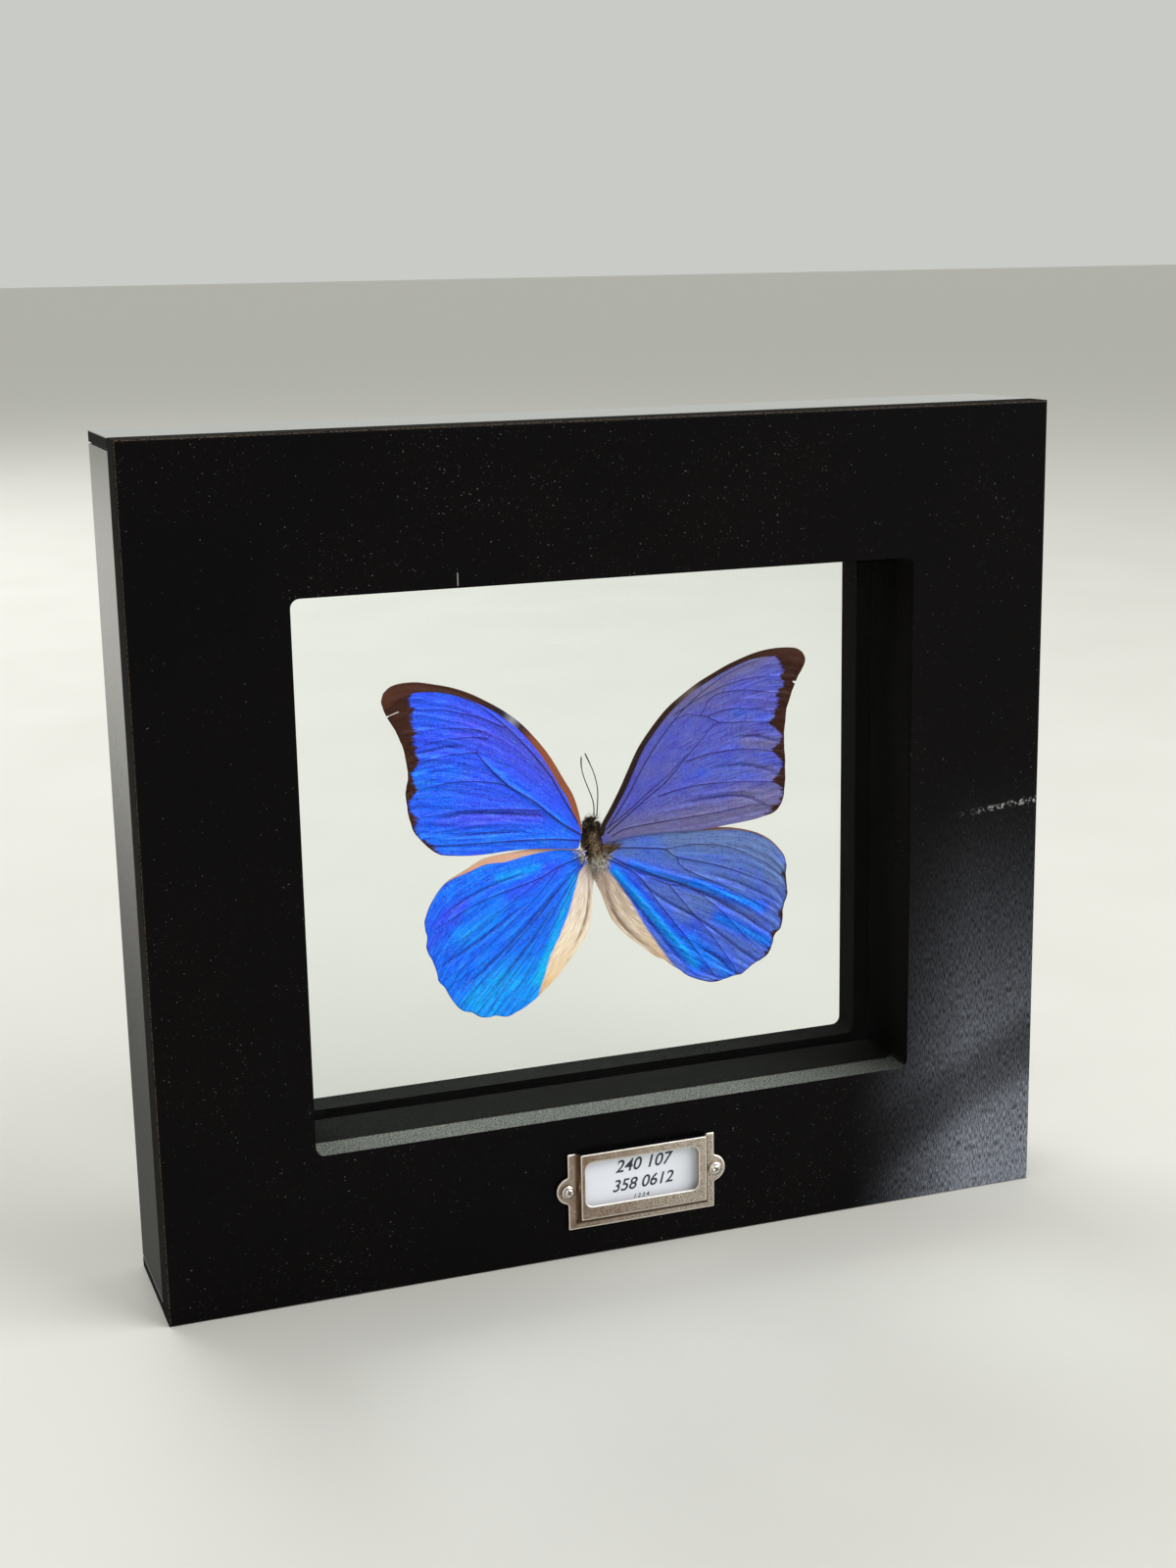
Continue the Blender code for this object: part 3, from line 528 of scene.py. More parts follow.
def blue_scales(name, fringe, dull_tones, fold_tones=None):
    """Scales of a blue butterfly: ribs in each scale give a metallic blue that turns violet or
    azure across the wing. Dull places are wear, and on the right wings also painted shade, since
    they lie at another angle to the light; the margin shows the brown scales beneath."""
    material, tree, shader = new_material(name, Specular_IOR_Level=0.12)
    fan = add(tree, "UVMap", uv_map="fan")
    streak_place = add(tree, "VectorMath", (fan, (0.1, 1.6, 1.0)), operation="MULTIPLY")
    streak = add(tree, "TexNoise", {"Vector": streak_place, "Scale": 1.0, "Detail": 4.0})
    comb_place = add(tree, "VectorMath", (fan, (0.45, 3.2, 1.0)), operation="MULTIPLY")
    comb = add(tree, "TexNoise", {"Vector": comb_place, "Scale": 1.0, "Detail": 3.0})
    place = in_millimetres(tree)
    scales = add(tree, "TexNoise", {"Vector": place, "Scale": 1 / 0.28, "Detail": 2.0})
    wander = add(tree, "TexNoise", {"Vector": place, "Scale": 1 / 5.0, "Detail": 4.0})

    hue = add(tree, "Attribute", out="Fac", attribute_name="hue")
    hue = add(tree, "Math", (streak, 0.74, hue), operation="MULTIPLY_ADD")
    hue = add(tree, "Math", (wander, 0.18, hue), operation="MULTIPLY_ADD")
    hue = add(tree, "Math", (scales, 0.16, hue), operation="MULTIPLY_ADD")
    hue = add(tree, "Math", (hue, 0.54), operation="SUBTRACT")
    blue = add(tree, "ValToRGB", (hue,),
               stops=((0.0, "#4d339c"), (0.2, "#4845d8"), (0.4, "#2a4ef6"), (0.6, "#0a62fb"),
                      (0.8, "#0088ff"), (1.0, "#00b8fb")))
    dull_tones = add(tree, "Mix", {0: scales, 6: dull_tones[0], 7: dull_tones[1]}, **COLOURS)
    dull = add(tree, "Attribute", out="Fac", attribute_name="dull")
    dull = add(tree, "Math", (wander, 0.55, dull), operation="MULTIPLY_ADD")
    dull = add(tree, "Math", (streak, 0.75, dull), operation="MULTIPLY_ADD")
    dull = add(tree, "MapRange", (dull, 0.65, 1.65), **SOFT)
    colour = add(tree, "Mix", {0: dull, 6: blue, 7: dull_tones}, **COLOURS)

    shade = add(tree, "Attribute", out="Fac", attribute_name="shade")
    crease = add(tree, "MapRange", (shade, 0.0, 1.0, 0.0, 0.65), **SOFT)
    colour = add(tree, "Mix", {0: crease, 6: colour, 7: "#12106a"}, **COLOURS)
    fine_place = add(tree, "VectorMath", (fan, (0.22, 3.4, 1.0)), operation="MULTIPLY")
    fine = add(tree, "TexNoise", {"Vector": fine_place, "Scale": 1.0, "Detail": 3.0})
    colour = add(tree, "Mix", {0: add(tree, "MapRange", (fine, 0.5, 0.72, 0.0, 0.62), **SOFT),
                               6: colour, 7: "#1a1472"}, **COLOURS)
    colour = add(tree, "Mix", {0: add(tree, "MapRange", (fine, 0.46, 0.28, 0.0, 0.38), **SOFT),
                               6: colour, 7: "#4f9cf4"}, **COLOURS)
    rows_place = add(tree, "VectorMath", (fan, (1.3, 0.5, 1.0)), operation="MULTIPLY")
    rows = add(tree, "TexNoise", {"Vector": rows_place, "Scale": 1.0, "Detail": 2.0})
    colour = add(tree, "Mix", {0: add(tree, "MapRange", (rows, 0.52, 0.68, 0.0, 0.3), **SOFT),
                               6: colour, 7: "#1c1a80"}, **COLOURS)
    colour = add(tree, "Mix", {0: add(tree, "MapRange", (scales, 0.55, 0.72, 0.0, 0.5), **SOFT),
                               6: colour, 7: "#86aaf4"}, **COLOURS)
    vein = add(tree, "Attribute", out="Fac", attribute_name="vein")
    line = add(tree, "MapRange", (vein, 0.12, -0.03, 0.0, 0.8), **SOFT)
    colour = add(tree, "Mix", {0: line, 6: colour, 7: "#2c1a40"}, **COLOURS)

    ragged = add(tree, "Math", (comb, 0.5), operation="SUBTRACT")
    margin = add(tree, "Attribute", out="Fac", attribute_name="margin")
    margin = add(tree, "Math", (ragged, 3.6, margin), operation="MULTIPLY_ADD")
    edge = add(tree, "MapRange", (margin, 0.45, -0.25), **SOFT)
    brown = add(tree, "Mix", {0: wander, 6: "#250e06", 7: "#431d0c"}, **COLOURS)
    colour = add(tree, "Mix", {0: edge, 6: colour, 7: brown}, **COLOURS)
    costa = add(tree, "Attribute", out="Fac", attribute_name="costa")
    costa = add(tree, "MapRange", (costa, 0.15, -0.15), **SOFT)
    along = add(tree, "SeparateXYZ", (fan,)).node.outputs["X"]
    along = add(tree, "Math", (along, 1 / 60), operation="MULTIPLY")
    fringe = add(tree, "ValToRGB", (along,), stops=fringe)
    colour = add(tree, "Mix", {0: costa, 6: colour, 7: fringe}, **COLOURS)
    if fold_tones:
        anal = add(tree, "Attribute", out="Fac", attribute_name="anal")
        anal = add(tree, "Math", (ragged, 1.2, anal), operation="MULTIPLY_ADD")
        cream = add(tree, "ValToRGB", (along,), stops=fold_tones)
        cream = add(tree, "Mix", {0: add(tree, "MapRange", (fine, 0.52, 0.68, 0.0, 0.45), **SOFT),
                                  6: cream, 7: "#6f5039"}, **COLOURS)
        shade = add(tree, "Attribute", out="Fac", attribute_name="shade")
        cream = add(tree, "Mix", {0: add(tree, "MapRange", (shade, 0.05, 0.9, 0.0, 0.75), **SOFT),
                                  6: cream, 7: "#6b4a34"}, **COLOURS)
        cream = add(tree, "Mix", {0: add(tree, "MapRange", (fine, 0.46, 0.34, 0.0, 0.7), **SOFT),
                                  6: cream, 7: "#f6eee6"}, **COLOURS)
        fold = add(tree, "MapRange", (anal, -0.3, 0.5), **SOFT)
        colour = add(tree, "Mix", {0: fold, 6: colour, 7: cream}, **COLOURS)
        edge = add(tree, "Math", (edge, fold), operation="MAXIMUM")
    plain = add(tree, "Math", (edge, costa), operation="MAXIMUM")
    metallic = add(tree, "MapRange", (plain, 0.0, 1.0, 0.6, 0.0), **SOFT)
    rough = add(tree, "MapRange", (scales, 0.3, 0.7, 0.38, 0.5), **SOFT)

    ribs = add(tree, "Math", (fine, scales), operation="ADD")
    bump = add(tree, "Bump", {"Height": ribs, "Distance": 0.00022, "Strength": 0.5})
    feed(tree, shader, Base_Color=colour, Metallic=metallic, Roughness=rough, Normal=bump)
    return material


def brown_scales():
    """The underside: matt brown scales with paler bands and ringed eyespots."""
    material, tree, shader = new_material("brown_wing_scales", Specular_IOR_Level=0.2)
    place = in_millimetres(tree)
    fan = add(tree, "UVMap", uv_map="fan")
    split = add(tree, "SeparateXYZ", (fan,)).node
    wander = add(tree, "TexNoise", {"Vector": place, "Scale": 1 / 6.0, "Detail": 4.0})
    scales = add(tree, "TexNoise", {"Vector": place, "Scale": 1 / 0.28, "Detail": 2.0})
    band_place = add(tree, "Math", (wander, 9.0, split.outputs[0]), operation="MULTIPLY_ADD")
    bands = add(tree, "Math", (band_place, 0.33), operation="MULTIPLY")
    bands = add(tree, "Math", (bands,), operation="SINE")
    pale = add(tree, "MapRange", (bands, 0.72, 0.98, 0.0, 0.75), **SOFT)
    ground = add(tree, "Mix", {0: wander, 6: "#4c3322", 7: "#7a5a3d"}, **COLOURS)
    colour = add(tree, "Mix", {0: pale, 6: ground, 7: "#a98c66"}, **COLOURS)
    vein = add(tree, "Attribute", out="Fac", attribute_name="vein")
    colour = add(tree, "Mix",
                 {0: add(tree, "MapRange", (vein, 0.2, -0.05), **SOFT), 6: colour, 7: "#33211a"},
                 **COLOURS)
    eyespot = add(tree, "Attribute", out="Fac", attribute_name="eyespot")
    rings = add(tree, "ValToRGB", (eyespot,),
                stops=((0.0, "#e8e4da"), (0.14, "#20140f"), (0.45, "#20140f"), (0.52, "#c0954e"),
                       (0.72, "#b08544"), (0.8, "#2b1b13"), (0.96, "#4c3322")))
    eyespot = add(tree, "Attribute", out="Fac", attribute_name="eyespot")
    colour = add(tree, "Mix",
                 {0: add(tree, "MapRange", (eyespot, 0.98, 0.9), **SOFT), 6: colour, 7: rings},
                 **COLOURS)
    bump = add(tree, "Bump", {"Height": scales, "Distance": 0.00006, "Strength": 0.4})
    rough = add(tree, "MapRange", (scales, 0.3, 0.7, 0.6, 0.75), **SOFT)
    feed(tree, shader, Base_Color=colour, Roughness=rough, Normal=bump)
    return material


FOREWING_LEFT = Wing(
    "forewing_left", -1, FOREWING_PLANE,
    costa=((2.5, 5.4), (3.3, 10), (5, 15.6), (7.8, 20.5), (12, 27.5), (16.3, 33), (20.6, 37.5),
           (24.8, 40.8), (29, 43.5), (34.6, 46.6), (40, 48.8), (45.6, 50.3), (50, 51.2),
           (54, 51.3), (57, 50.7), (59, 49.2)),
    margin=((59, 49.2), (59.7, 47), (59, 44.5), (57.5, 41.5), (56, 39), (55, 36.5), (53.9, 33.5),
            (53.5, 30.6), (53, 27), (53.6, 24.2), (53.9, 21.5), (53.5, 18), (53, 15), (52, 12),
            (50.3, 9.6), (48.5, 7.6), (46.5, 5.8), (44.5, 4.6)),
    inner=((3.8, 0.7), (9.8, 1.5), (17, 2.5), (24.5, 3), (30.3, 3), (36, 3.3), (41.5, 4),
           (44.5, 4.6)),
    veins=(
        (0.28, ((2.2, 4), (9.6, 9.1), (16.8, 15.5), (24, 20.4), (29.5, 25.8), (33.4, 30.8))),
        (0.12, ((33.4, 30.8), (31.6, 33), (30.2, 34.2), (29.3, 35.6))),
        (0.13, ((33.4, 30.8), (40.7, 31.1), (46.3, 30.5), (52.8, 29.1))),
        (0.13, ((23.4, 20.3), (28.2, 22), (35.3, 23.4), (43.8, 23.6), (49.4, 22.8), (53.6, 21.7))),
        (0.12, ((15.4, 12.9), (21.2, 13.9), (29.9, 15), (38.4, 15.6), (46.9, 15.6), (52.5, 14.8))),
        (0.18, ((3.7, 3.1), (12.7, 4.6), (24.4, 5.7), (35.9, 6.5), (44.4, 7.1), (50, 8.2))),
        (0.12, ((30, 34.2), (34.9, 35.1), (43.4, 35.3), (49, 34.4), (55, 34.2))),
        (0.12, ((24.9, 36.6), (31.9, 40), (34.8, 40.9), (43.1, 43.3), (53, 44.3))),
        (0.20, ((3.6, 7.8), (8, 15.1), (12.2, 22.4), (17.9, 29.7), (23.5, 35.7), (29.1, 40.8),
                (34.6, 44.6), (40.1, 47.2), (45.6, 48.6), (52, 49.4))),
        (0.10, ((30.1, 36), (37.7, 37.8), (46, 38.4), (54, 38.2))),
    ),
    folds=(
        (-0.35, 0.7, ((14, 11), (24, 13), (36, 14.6), (46, 14.4))),
        (0.30, 0.6, ((8, 8.2), (16, 14.6), (24, 21), (30, 27), (32, 30))),
        (0.22, 0.6, ((16, 9), (28, 11), (40, 11.4), (50, 10.5))),
        (-0.22, 0.45, ((20, 7.6), (32, 8.6), (44, 9.2))),
        (0.20, 0.5, ((38, 28), (46, 27.6), (52, 26.4))),
        (-0.20, 0.5, ((36, 33), (44, 33), (52, 32))),
    ),
    strokes=(
        ("hue", 0.20, 4.5, (8, 4), (50, 9)), ("hue", 0.14, 6.0, (44, 18), (54, 26)),
        ("hue", -0.22, 1.6, (16, 11.5), (44, 13.5)), ("hue", -0.16, 6.0, (14, 25), (34, 38)),
        ("hue", 0.16, 1.4, (8, 8.5), (31, 28)), ("hue", 0.05, 3.0, (44, 42), (54, 40)),
        ("hue", 0.10, 3.0, (40, 27), (50, 27)), ("dull", 0.25, 2.0, (8, 18), (26, 38)),
    ),
    band={"tooth": 1.0, "reach": (
        (52, 8.0), (49, 7.6), (45, 6.6), (40, 4.3), (37.5, 3.8), (35, 2.4), (31, 3.0), (27.5, 0.7),
        (23.5, 2.4), (19.5, 0.2), (16, 1.2), (11, 0.2), (5, 0.1))},
    costa_band=((0, 0.35), (0.04, 0.9), (0.09, 1.9), (0.2, 2.0), (0.45, 1.7), (0.6, 1.5),
                (0.8, 1.9), (0.9, 3.0), (1, 4.0)),
    levels={"hue": 0.42, "dull": 0.08},
    gaps=((0.22, (59.6, 42.6), (53.8, 44.4)),),
    eyespots=((44, 30, 2.6), (46, 19.5, 2.2), (47, 39, 1.8)),
)

FOREWING_RIGHT = Wing(
    "forewing_right", 1, FOREWING_PLANE,
    costa=((2.6, 4.6), (3.2, 7), (5.5, 11), (8.3, 16.3), (10.5, 21), (13.3, 26.8), (16.1, 31),
           (18.9, 34.6), (21.6, 37.6), (24.4, 40), (29.9, 44), (34, 46.3), (38.2, 48.5),
           (42.3, 50.2), (46.4, 51.6), (50.6, 52.4), (54.7, 52.6), (58.1, 52.2), (60, 51)),
    margin=((60, 51), (60.7, 49), (59.8, 46.4), (58.3, 43.8), (57.2, 41), (56.2, 38.2),
            (55.4, 35.5), (55, 32), (54.7, 28), (54.8, 24.5), (55, 21), (55, 16), (54.6, 11.5),
            (53.6, 8.6), (52, 7), (49.7, 6)),
    inner=((3.2, 1.2), (8.9, 2.5), (11.6, 2.9), (15.8, 3.1), (21.3, 3.3), (26.8, 3.2), (32.4, 3.4),
           (37.9, 4.1), (42.1, 4.6), (46.3, 5.2), (49.7, 6)),
    veins=(
        (0.20, ((4.8, 4.2), (10.4, 8.8), (15.9, 13.3), (21.4, 17.6), (26.4, 23.3), (31.2, 28.4),
                (34.5, 32.3))),
        (0.16, ((2.9, 4.3), (10.4, 9.9), (15.9, 14.5), (21.4, 18.9), (25.9, 23.4), (27.5, 25.2))),
        (0.14, ((34.5, 32.3), (35.9, 33.2), (34.2, 34), (32.6, 34.9), (30.4, 35.2), (27.1, 35.7),
                (22, 33.4))),
        (0.12, ((35.8, 33), (40.8, 32.7), (47.8, 32.6), (53.3, 31.3))),
        (0.12, ((33.1, 34.8), (38.1, 36.4), (45, 36.3), (54, 34.8))),
        (0.12, ((31.2, 35.4), (34, 39.8), (38.1, 41.3), (45, 41.4), (54.5, 39.8))),
        (0.11, ((24, 36), (29.9, 39.6), (36.7, 42.7), (43.6, 44.5), (49.2, 45), (55, 44.5))),
        (0.14, ((27, 22.7), (32.5, 24.2), (38, 25), (45, 25.1), (53.9, 23.6))),
        (0.13, ((19.2, 13.6), (24.2, 14.9), (29.7, 15.9), (38, 16.2), (46.4, 15.9), (54.2, 15.4))),
        (0.15, ((6, 3.4), (10.3, 5.2), (21.3, 6.5), (32.4, 7.6), (40.7, 8.6), (47.7, 9.5),
                (52.5, 8.2))),
        (0.16, ((5, 6), (10.4, 14), (14.6, 21.6), (18.8, 28.2), (23, 33.5), (27.1, 38),
                (32.6, 42.4), (38.1, 46), (43.7, 48.4), (48, 50))),
    ),
    folds=(
        (-0.28, 0.5, ((26, 11), (36, 12.2), (44, 11.6), (50, 8.6))),
        (0.22, 0.5, ((30, 13), (40, 13.6), (50, 12.5))),
        (-0.20, 0.6, ((40, 28.6), (47, 28.4), (54, 26.4))),
        (-0.22, 0.6, ((34, 20.4), (44, 20.6), (54, 17.4))),
        (0.20, 0.6, ((38, 39), (46, 39), (53, 37.6))),
        (0.16, 0.5, ((12, 7.4), (24, 9.6), (36, 10.4))),
    ),
    strokes=(
        ("hue", 0.12, 5.0, (28, 20), (48, 22)), ("hue", 0.10, 3.0, (40, 34), (52, 44)),
        ("dull", 0.40, 4.5, (8, 4), (50, 8)), ("dull", 0.32, 3.0, (42, 12), (54, 12)),
        ("dull", 0.25, 2.0, (44, 27.5), (54, 26.5)), ("dull", 0.25, 2.0, (46, 20), (54, 17)),
        ("dull", 0.35, 2.4, (20, 36), (50, 51)), ("hue", -0.12, 2.5, (34, 38.5), (50, 38.5)),
        ("hue", 0.14, 2.0, (32, 19), (48, 19)), ("hue", 0.20, 1.2, (40, 35.5), (54, 33)),
    ),
    band={"tooth": 1.2, "reach": (
        (53, 8.0), (50, 7.6), (47.5, 5.6), (45, 3.4), (42, 2.8), (38, 3.0), (35.3, 2.2),
        (32, 3.4), (28, 0.5), (24.5, 2.6), (20.4, 0.6), (16, 2.6), (13.5, 0.6), (8, 0.4))},
    costa_band=((0, 1.3), (0.2, 1.7), (0.45, 1.5), (0.6, 1.3), (0.8, 1.4), (0.9, 2.2), (1, 4.0)),
    # The high dull level here is partly painted shade: this wing lies at another angle to the
    # light.
    levels={"hue": 0.30, "dull": 0.50},
    gaps=((0.75, (58.4, 42.6), (57.0, 43.2)),),
    eyespots=((45, 30, 2.6), (47, 19.5, 2.2), (48, 40, 1.8)),
)

HINDWING_LEFT = Wing(
    "hindwing_left", -1, HINDWING_PLANE,
    costa=((1.3, -0.4), (9.4, 1.7), (18.3, 2.3), (24.2, 2.2), (30, 2), (33.1, 1.4), (37.5, -0.5),
           (41.3, -2), (43.3, -3), (45.4, -4.8), (47.3, -7.1), (48.8, -9.5), (50.1, -12.7)),
    margin=((50.1, -12.7), (50, -15), (49.6, -17.3), (49.9, -19.5), (49.5, -21.6), (48.4, -23.6),
            (47.5, -26.4), (46.9, -29.4), (45.4, -31.3), (44, -33.9), (42.1, -37), (40, -38.9),
            (37.8, -39.6), (35.3, -41.3), (33, -41.8), (30.6, -41.8), (28.5, -42.4),
            (26.8, -42.6), (24.4, -42), (22, -41.1), (20, -40)),
    inner=((-0.8, -3.6), (-1.4, -6), (-1.2, -8.5), (-0.5, -12.2), (-0.3, -16.3), (0.5, -20.4),
           (2.1, -24.2), (4.4, -26.9),
           (7.6, -30.3), (10.4, -33.1), (13, -35.4), (15.5, -37.2), (17.6, -38.8), (20, -40)),
    veins=(
        (0.14, ((1.3, -1.8), (9.5, -3.6), (14, -5.4), (19, -6.8), (26, -8), (36, -10.5),
                (47, -15))),
        (0.08, ((14, -5.4), (22, -10), (32, -15), (40, -19), (48.6, -22.4))),
        (0.08, ((9.5, -3.6), (16, -10.4), (25, -17), (36, -24.6), (46.6, -29.6))),
        (0.10, ((1.6, -2.6), (8.2, -8.4), (16, -16), (25.2, -24), (34, -31.2), (41.6, -37.2))),
        (0.09, ((1.7, -2.9), (8, -11), (15, -20), (22, -28.4), (29, -36), (34, -41))),
        (0.08, ((2, -3.7), (7.4, -12.4), (13.6, -21.6), (20, -30.4), (26, -38), (28.4, -42))),
    ),
    folds=(
        (-0.34, 0.55, ((5, -5.6), (14, -13.6), (24, -21.8), (34, -29), (42, -33.4))),
        (0.26, 0.5, ((6, -5.4), (15, -12.8), (25, -20.4), (36, -27.4), (44, -31))),
        (-0.22, 0.45, ((18, -4), (28, -5.6), (38, -8.6), (46, -13))),
        (-0.22, 0.5, ((20, -12.5), (30, -18), (40, -23), (47, -26))),
        (-0.20, 0.5, ((10, -13), (18, -22), (27, -31), (34, -37))),
        (0.24, 0.7, ((5, -9), (9, -17), (14, -26), (19, -35))),
        (-0.26, 0.5, ((6, -11), (10, -19), (15.6, -29), (19.6, -37))),
        (0.22, 0.8, ((1.4, -6), (2, -14), (5, -22), (9, -29))),
        (-0.22, 0.6, ((0.8, -6), (0.8, -14), (2.6, -21), (6, -27))),
    ),
    strokes=(
        ("hue", 0.22, 10, (18, -36), (34, -40)), ("hue", 0.30, 1.6, (5, -8), (17, -34)),
        ("hue", -0.24, 1.6, (38, -9), (48, -14)), ("hue", -0.20, 2.0, (10, -4), (24, -9)),
        ("hue", -0.20, 1.4, (40, -13), (49, -19)), ("hue", 0.24, 1.4, (16, -3), (28, -4)),
        ("hue", 0.12, 4.0, (26, -30), (36, -36)), ("hue", 0.16, 3.0, (30, -15), (40, -18)),
    ),
    band={"tooth": 0.0, "reach": ((3, -0.4), (-20, -0.3), (-43, -0.3))},
    costa_band=((0, 0.2), (0.25, 1.2), (0.45, 2.3), (0.62, 1.4), (0.72, 0.5), (0.8, 0.05),
                (1, 0)),
    levels={"hue": 0.62, "dull": -0.1},
    eyespots=((35, -13, 3.4), (34, -24, 2.4), (28, -31, 2.6)),
    anal=((-1, -2.8), (1.6, -4.2), (3.6, -6), (4.4, -8.8), (7.1, -16.6), (10.3, -22.9),
          (13.3, -27.9), (15.9, -34.4),
          (17.6, -38.4), (18.4, -41)),
)

HINDWING_RIGHT = Wing(
    "hindwing_right", 1, HINDWING_PLANE,
    costa=((3.0, 0.6), (8.5, 2.7), (13.4, 3.4), (20, 3.7), (27.2, 3.8), (36.9, 3.5), (41.1, 3),
           (45.2, 2), (48, 0.9), (50.8, -0.8), (53, -3), (54.9, -5.6), (55.7, -8.6)),
    margin=((55.7, -8.6), (55.3, -11.1), (55.6, -14), (55.7, -16.7), (55, -19), (54.3, -21.3),
            (54.3, -23.9), (53.6, -26.3), (52, -28), (51.4, -30), (50.7, -32.1), (49.9, -33.5),
            (48.1, -34.8), (45.9, -36), (44, -37.3), (42.2, -38.7), (40.2, -38.9),
            (37.9, -39.6), (35.4, -40.2), (33, -40.3)),
    inner=((0.9, -4.2), (0.6, -6.6), (1.0, -8.4), (1.9, -10.4), (3.1, -13.2), (4.6, -17.5),
           (6.2, -20.9), (9.9, -25.1), (13.1, -27.8), (15.8, -30), (18, -31.8), (20.2, -32.8),
           (22.1, -34.4), (24.6, -36.1), (26.2, -37.5), (28.1, -38.6), (30.4, -39.5),
           (33, -40.3)),
    veins=(
        (0.18, ((5.1, -0.9), (8.4, -0.4), (16.1, -1), (21, -1.6), (24.3, -4), (32.5, -6.2),
                (40.8, -9), (53.4, -14.6))),
        (0.10, ((21, -1.6), (29.9, -0.8), (39.6, -2.4), (49.3, -7.2), (54.3, -11.3))),
        (0.10, ((24.3, -4), (25.6, -6.6), (30, -9.4), (40, -14.4), (54, -22.6))),
        (0.12, ((4.6, -1.8), (10, -5), (18, -8.6), (26, -12), (38, -18.4), (52.6, -28.6))),
        (0.12, ((17, -9.4), (22, -11.6), (28, -13), (36, -19.4), (44, -28.4), (50.4, -33.6))),
        (0.12, ((22, -11.6), (28, -19.4), (35, -28.4), (41, -37.8))),
        (0.14, ((4.8, -3), (13.5, -8.6), (19, -16.6), (27, -27.4), (35, -39))),
    ),
    folds=(
        (-0.34, 0.8, ((6, -4), (17, -9), (28, -13), (40, -19.6), (50, -27))),
        (0.26, 0.6, ((8, -3.6), (18, -7.4), (30, -11.6), (42, -18), (52, -25.4))),
        (-0.26, 0.5, ((13, -9.6), (20, -15.6), (30, -22), (40, -30), (46, -35))),
        (0.22, 0.5, ((30, -9.4), (40, -13.6), (50, -18.4))),
        (-0.22, 0.5, ((34, -9.6), (44, -13.6), (54, -19.6))),
        (0.30, 0.8, ((6, -6), (14, -15.4), (22, -25.6), (29, -34.6))),
        (-0.24, 0.6, ((6, -8), (12, -15.8), (19, -25.6), (26, -34.6))),
        (0.22, 0.8, ((5, -9), (7, -17), (12, -24), (18, -29.6))),
        (-0.22, 0.5, ((4, -9), (5.6, -16.6), (10, -23.6), (17, -30))),
        (-0.20, 0.5, ((30, -30), (36, -34), (40, -38.6))),
    ),
    strokes=(
        ("hue", 0.40, 1.6, (7, -7), (29, -35)), ("dull", -0.7, 3.0, (7, -7), (30, -35)),
        ("hue", 0.26, 1.2, (12, -5.6), (28, -12)), ("dull", -0.4, 1.8, (12, -5.6), (28, -12)),
        ("hue", 0.26, 1.4, (30, -12), (48, -20)), ("dull", -0.6, 1.7, (30, -12), (48, -20)),
        ("hue", 0.26, 1.5, (36, -22), (50, -30)), ("dull", -0.6, 2.0, (36, -22), (50, -30)),
        ("hue", 0.26, 2.5, (28, -28), (38, -38)), ("dull", -0.4, 4.0, (28, -26), (38, -37)),
        ("dull", 0.5, 3.0, (24, 2), (50, -2)), ("dull", 0.35, 3.0, (48, -4), (54, -12)),
        ("hue", 0.16, 3.0, (12, -1), (32, -3)),
    ),
    band={"tooth": 0.8, "reach": ((3, 0.3), (-12, 0.3), (-24, 0.4), (-43, -0.2))},
    costa_band=((0, 0.1), (0.3, 0.6), (0.55, 0.9), (0.7, 0.5), (1, 0.1)),
    # The high dull level here is partly painted shade: this wing lies at another angle to the
    # light.
    levels={"hue": 0.46, "dull": 0.62},
    eyespots=((36, -12, 3.4), (36, -23, 2.4), (30, -29, 2.6)),
    anal=((1, -2.4), (3.2, -4), (4.9, -6), (7.9, -10), (11.6, -16), (15.5, -23.4), (18.7, -28.4),
          (22.1, -33.6), (24.4, -36.2), (27, -41)),
)


# ---------------------------------------------------------------- body and antennae

def ball_grid(centre, radii, rows=24, columns=36, lean=0.0):
    """A globe of rings from pole to pole, squeezed to three radii and leaned about Y. Returns
    points and unit normals; the poles are single points at the ends."""
    latitude = np.linspace(0, pi, rows + 1)[1:-1, None]
    longitude = np.linspace(0, 2 * pi, columns, endpoint=False)[None]
    unit = np.stack([np.sin(latitude) * np.cos(longitude), np.sin(latitude) * np.sin(longitude),
                     np.cos(latitude) + 0 * longitude], axis=-1).reshape(-1, 3)
    unit = np.vstack([[0, 0, 1], unit, [0, 0, -1]])
    turn = np.array(Matrix.Rotation(lean, 3, "Y"))
    normals = (unit / radii) @ turn.T
    normals /= np.linalg.norm(normals, axis=1, keepdims=True)
    return (unit * radii) @ turn.T + centre, normals


def ball_faces(rows=24, columns=36):
    """Triangles for ball_grid: two fans at the poles and split squares between the rings."""
    ring = np.arange(columns)
    after = (ring + 1) % columns
    top = np.stack([0 * ring, 1 + ring, 1 + after], axis=1)
    first = 1 + (rows - 2) * columns
    bottom = np.stack([0 * ring + first + columns, first + after, first + ring], axis=1)
    start = 1 + np.arange(rows - 2)[:, None] * columns
    a, b = start + ring, start + after
    c, d = b + columns, a + columns
    sides = np.concatenate([np.stack([a, d, c], -1).reshape(-1, 3),
                            np.stack([a, c, b], -1).reshape(-1, 3)])
    return np.concatenate([top, sides, bottom])


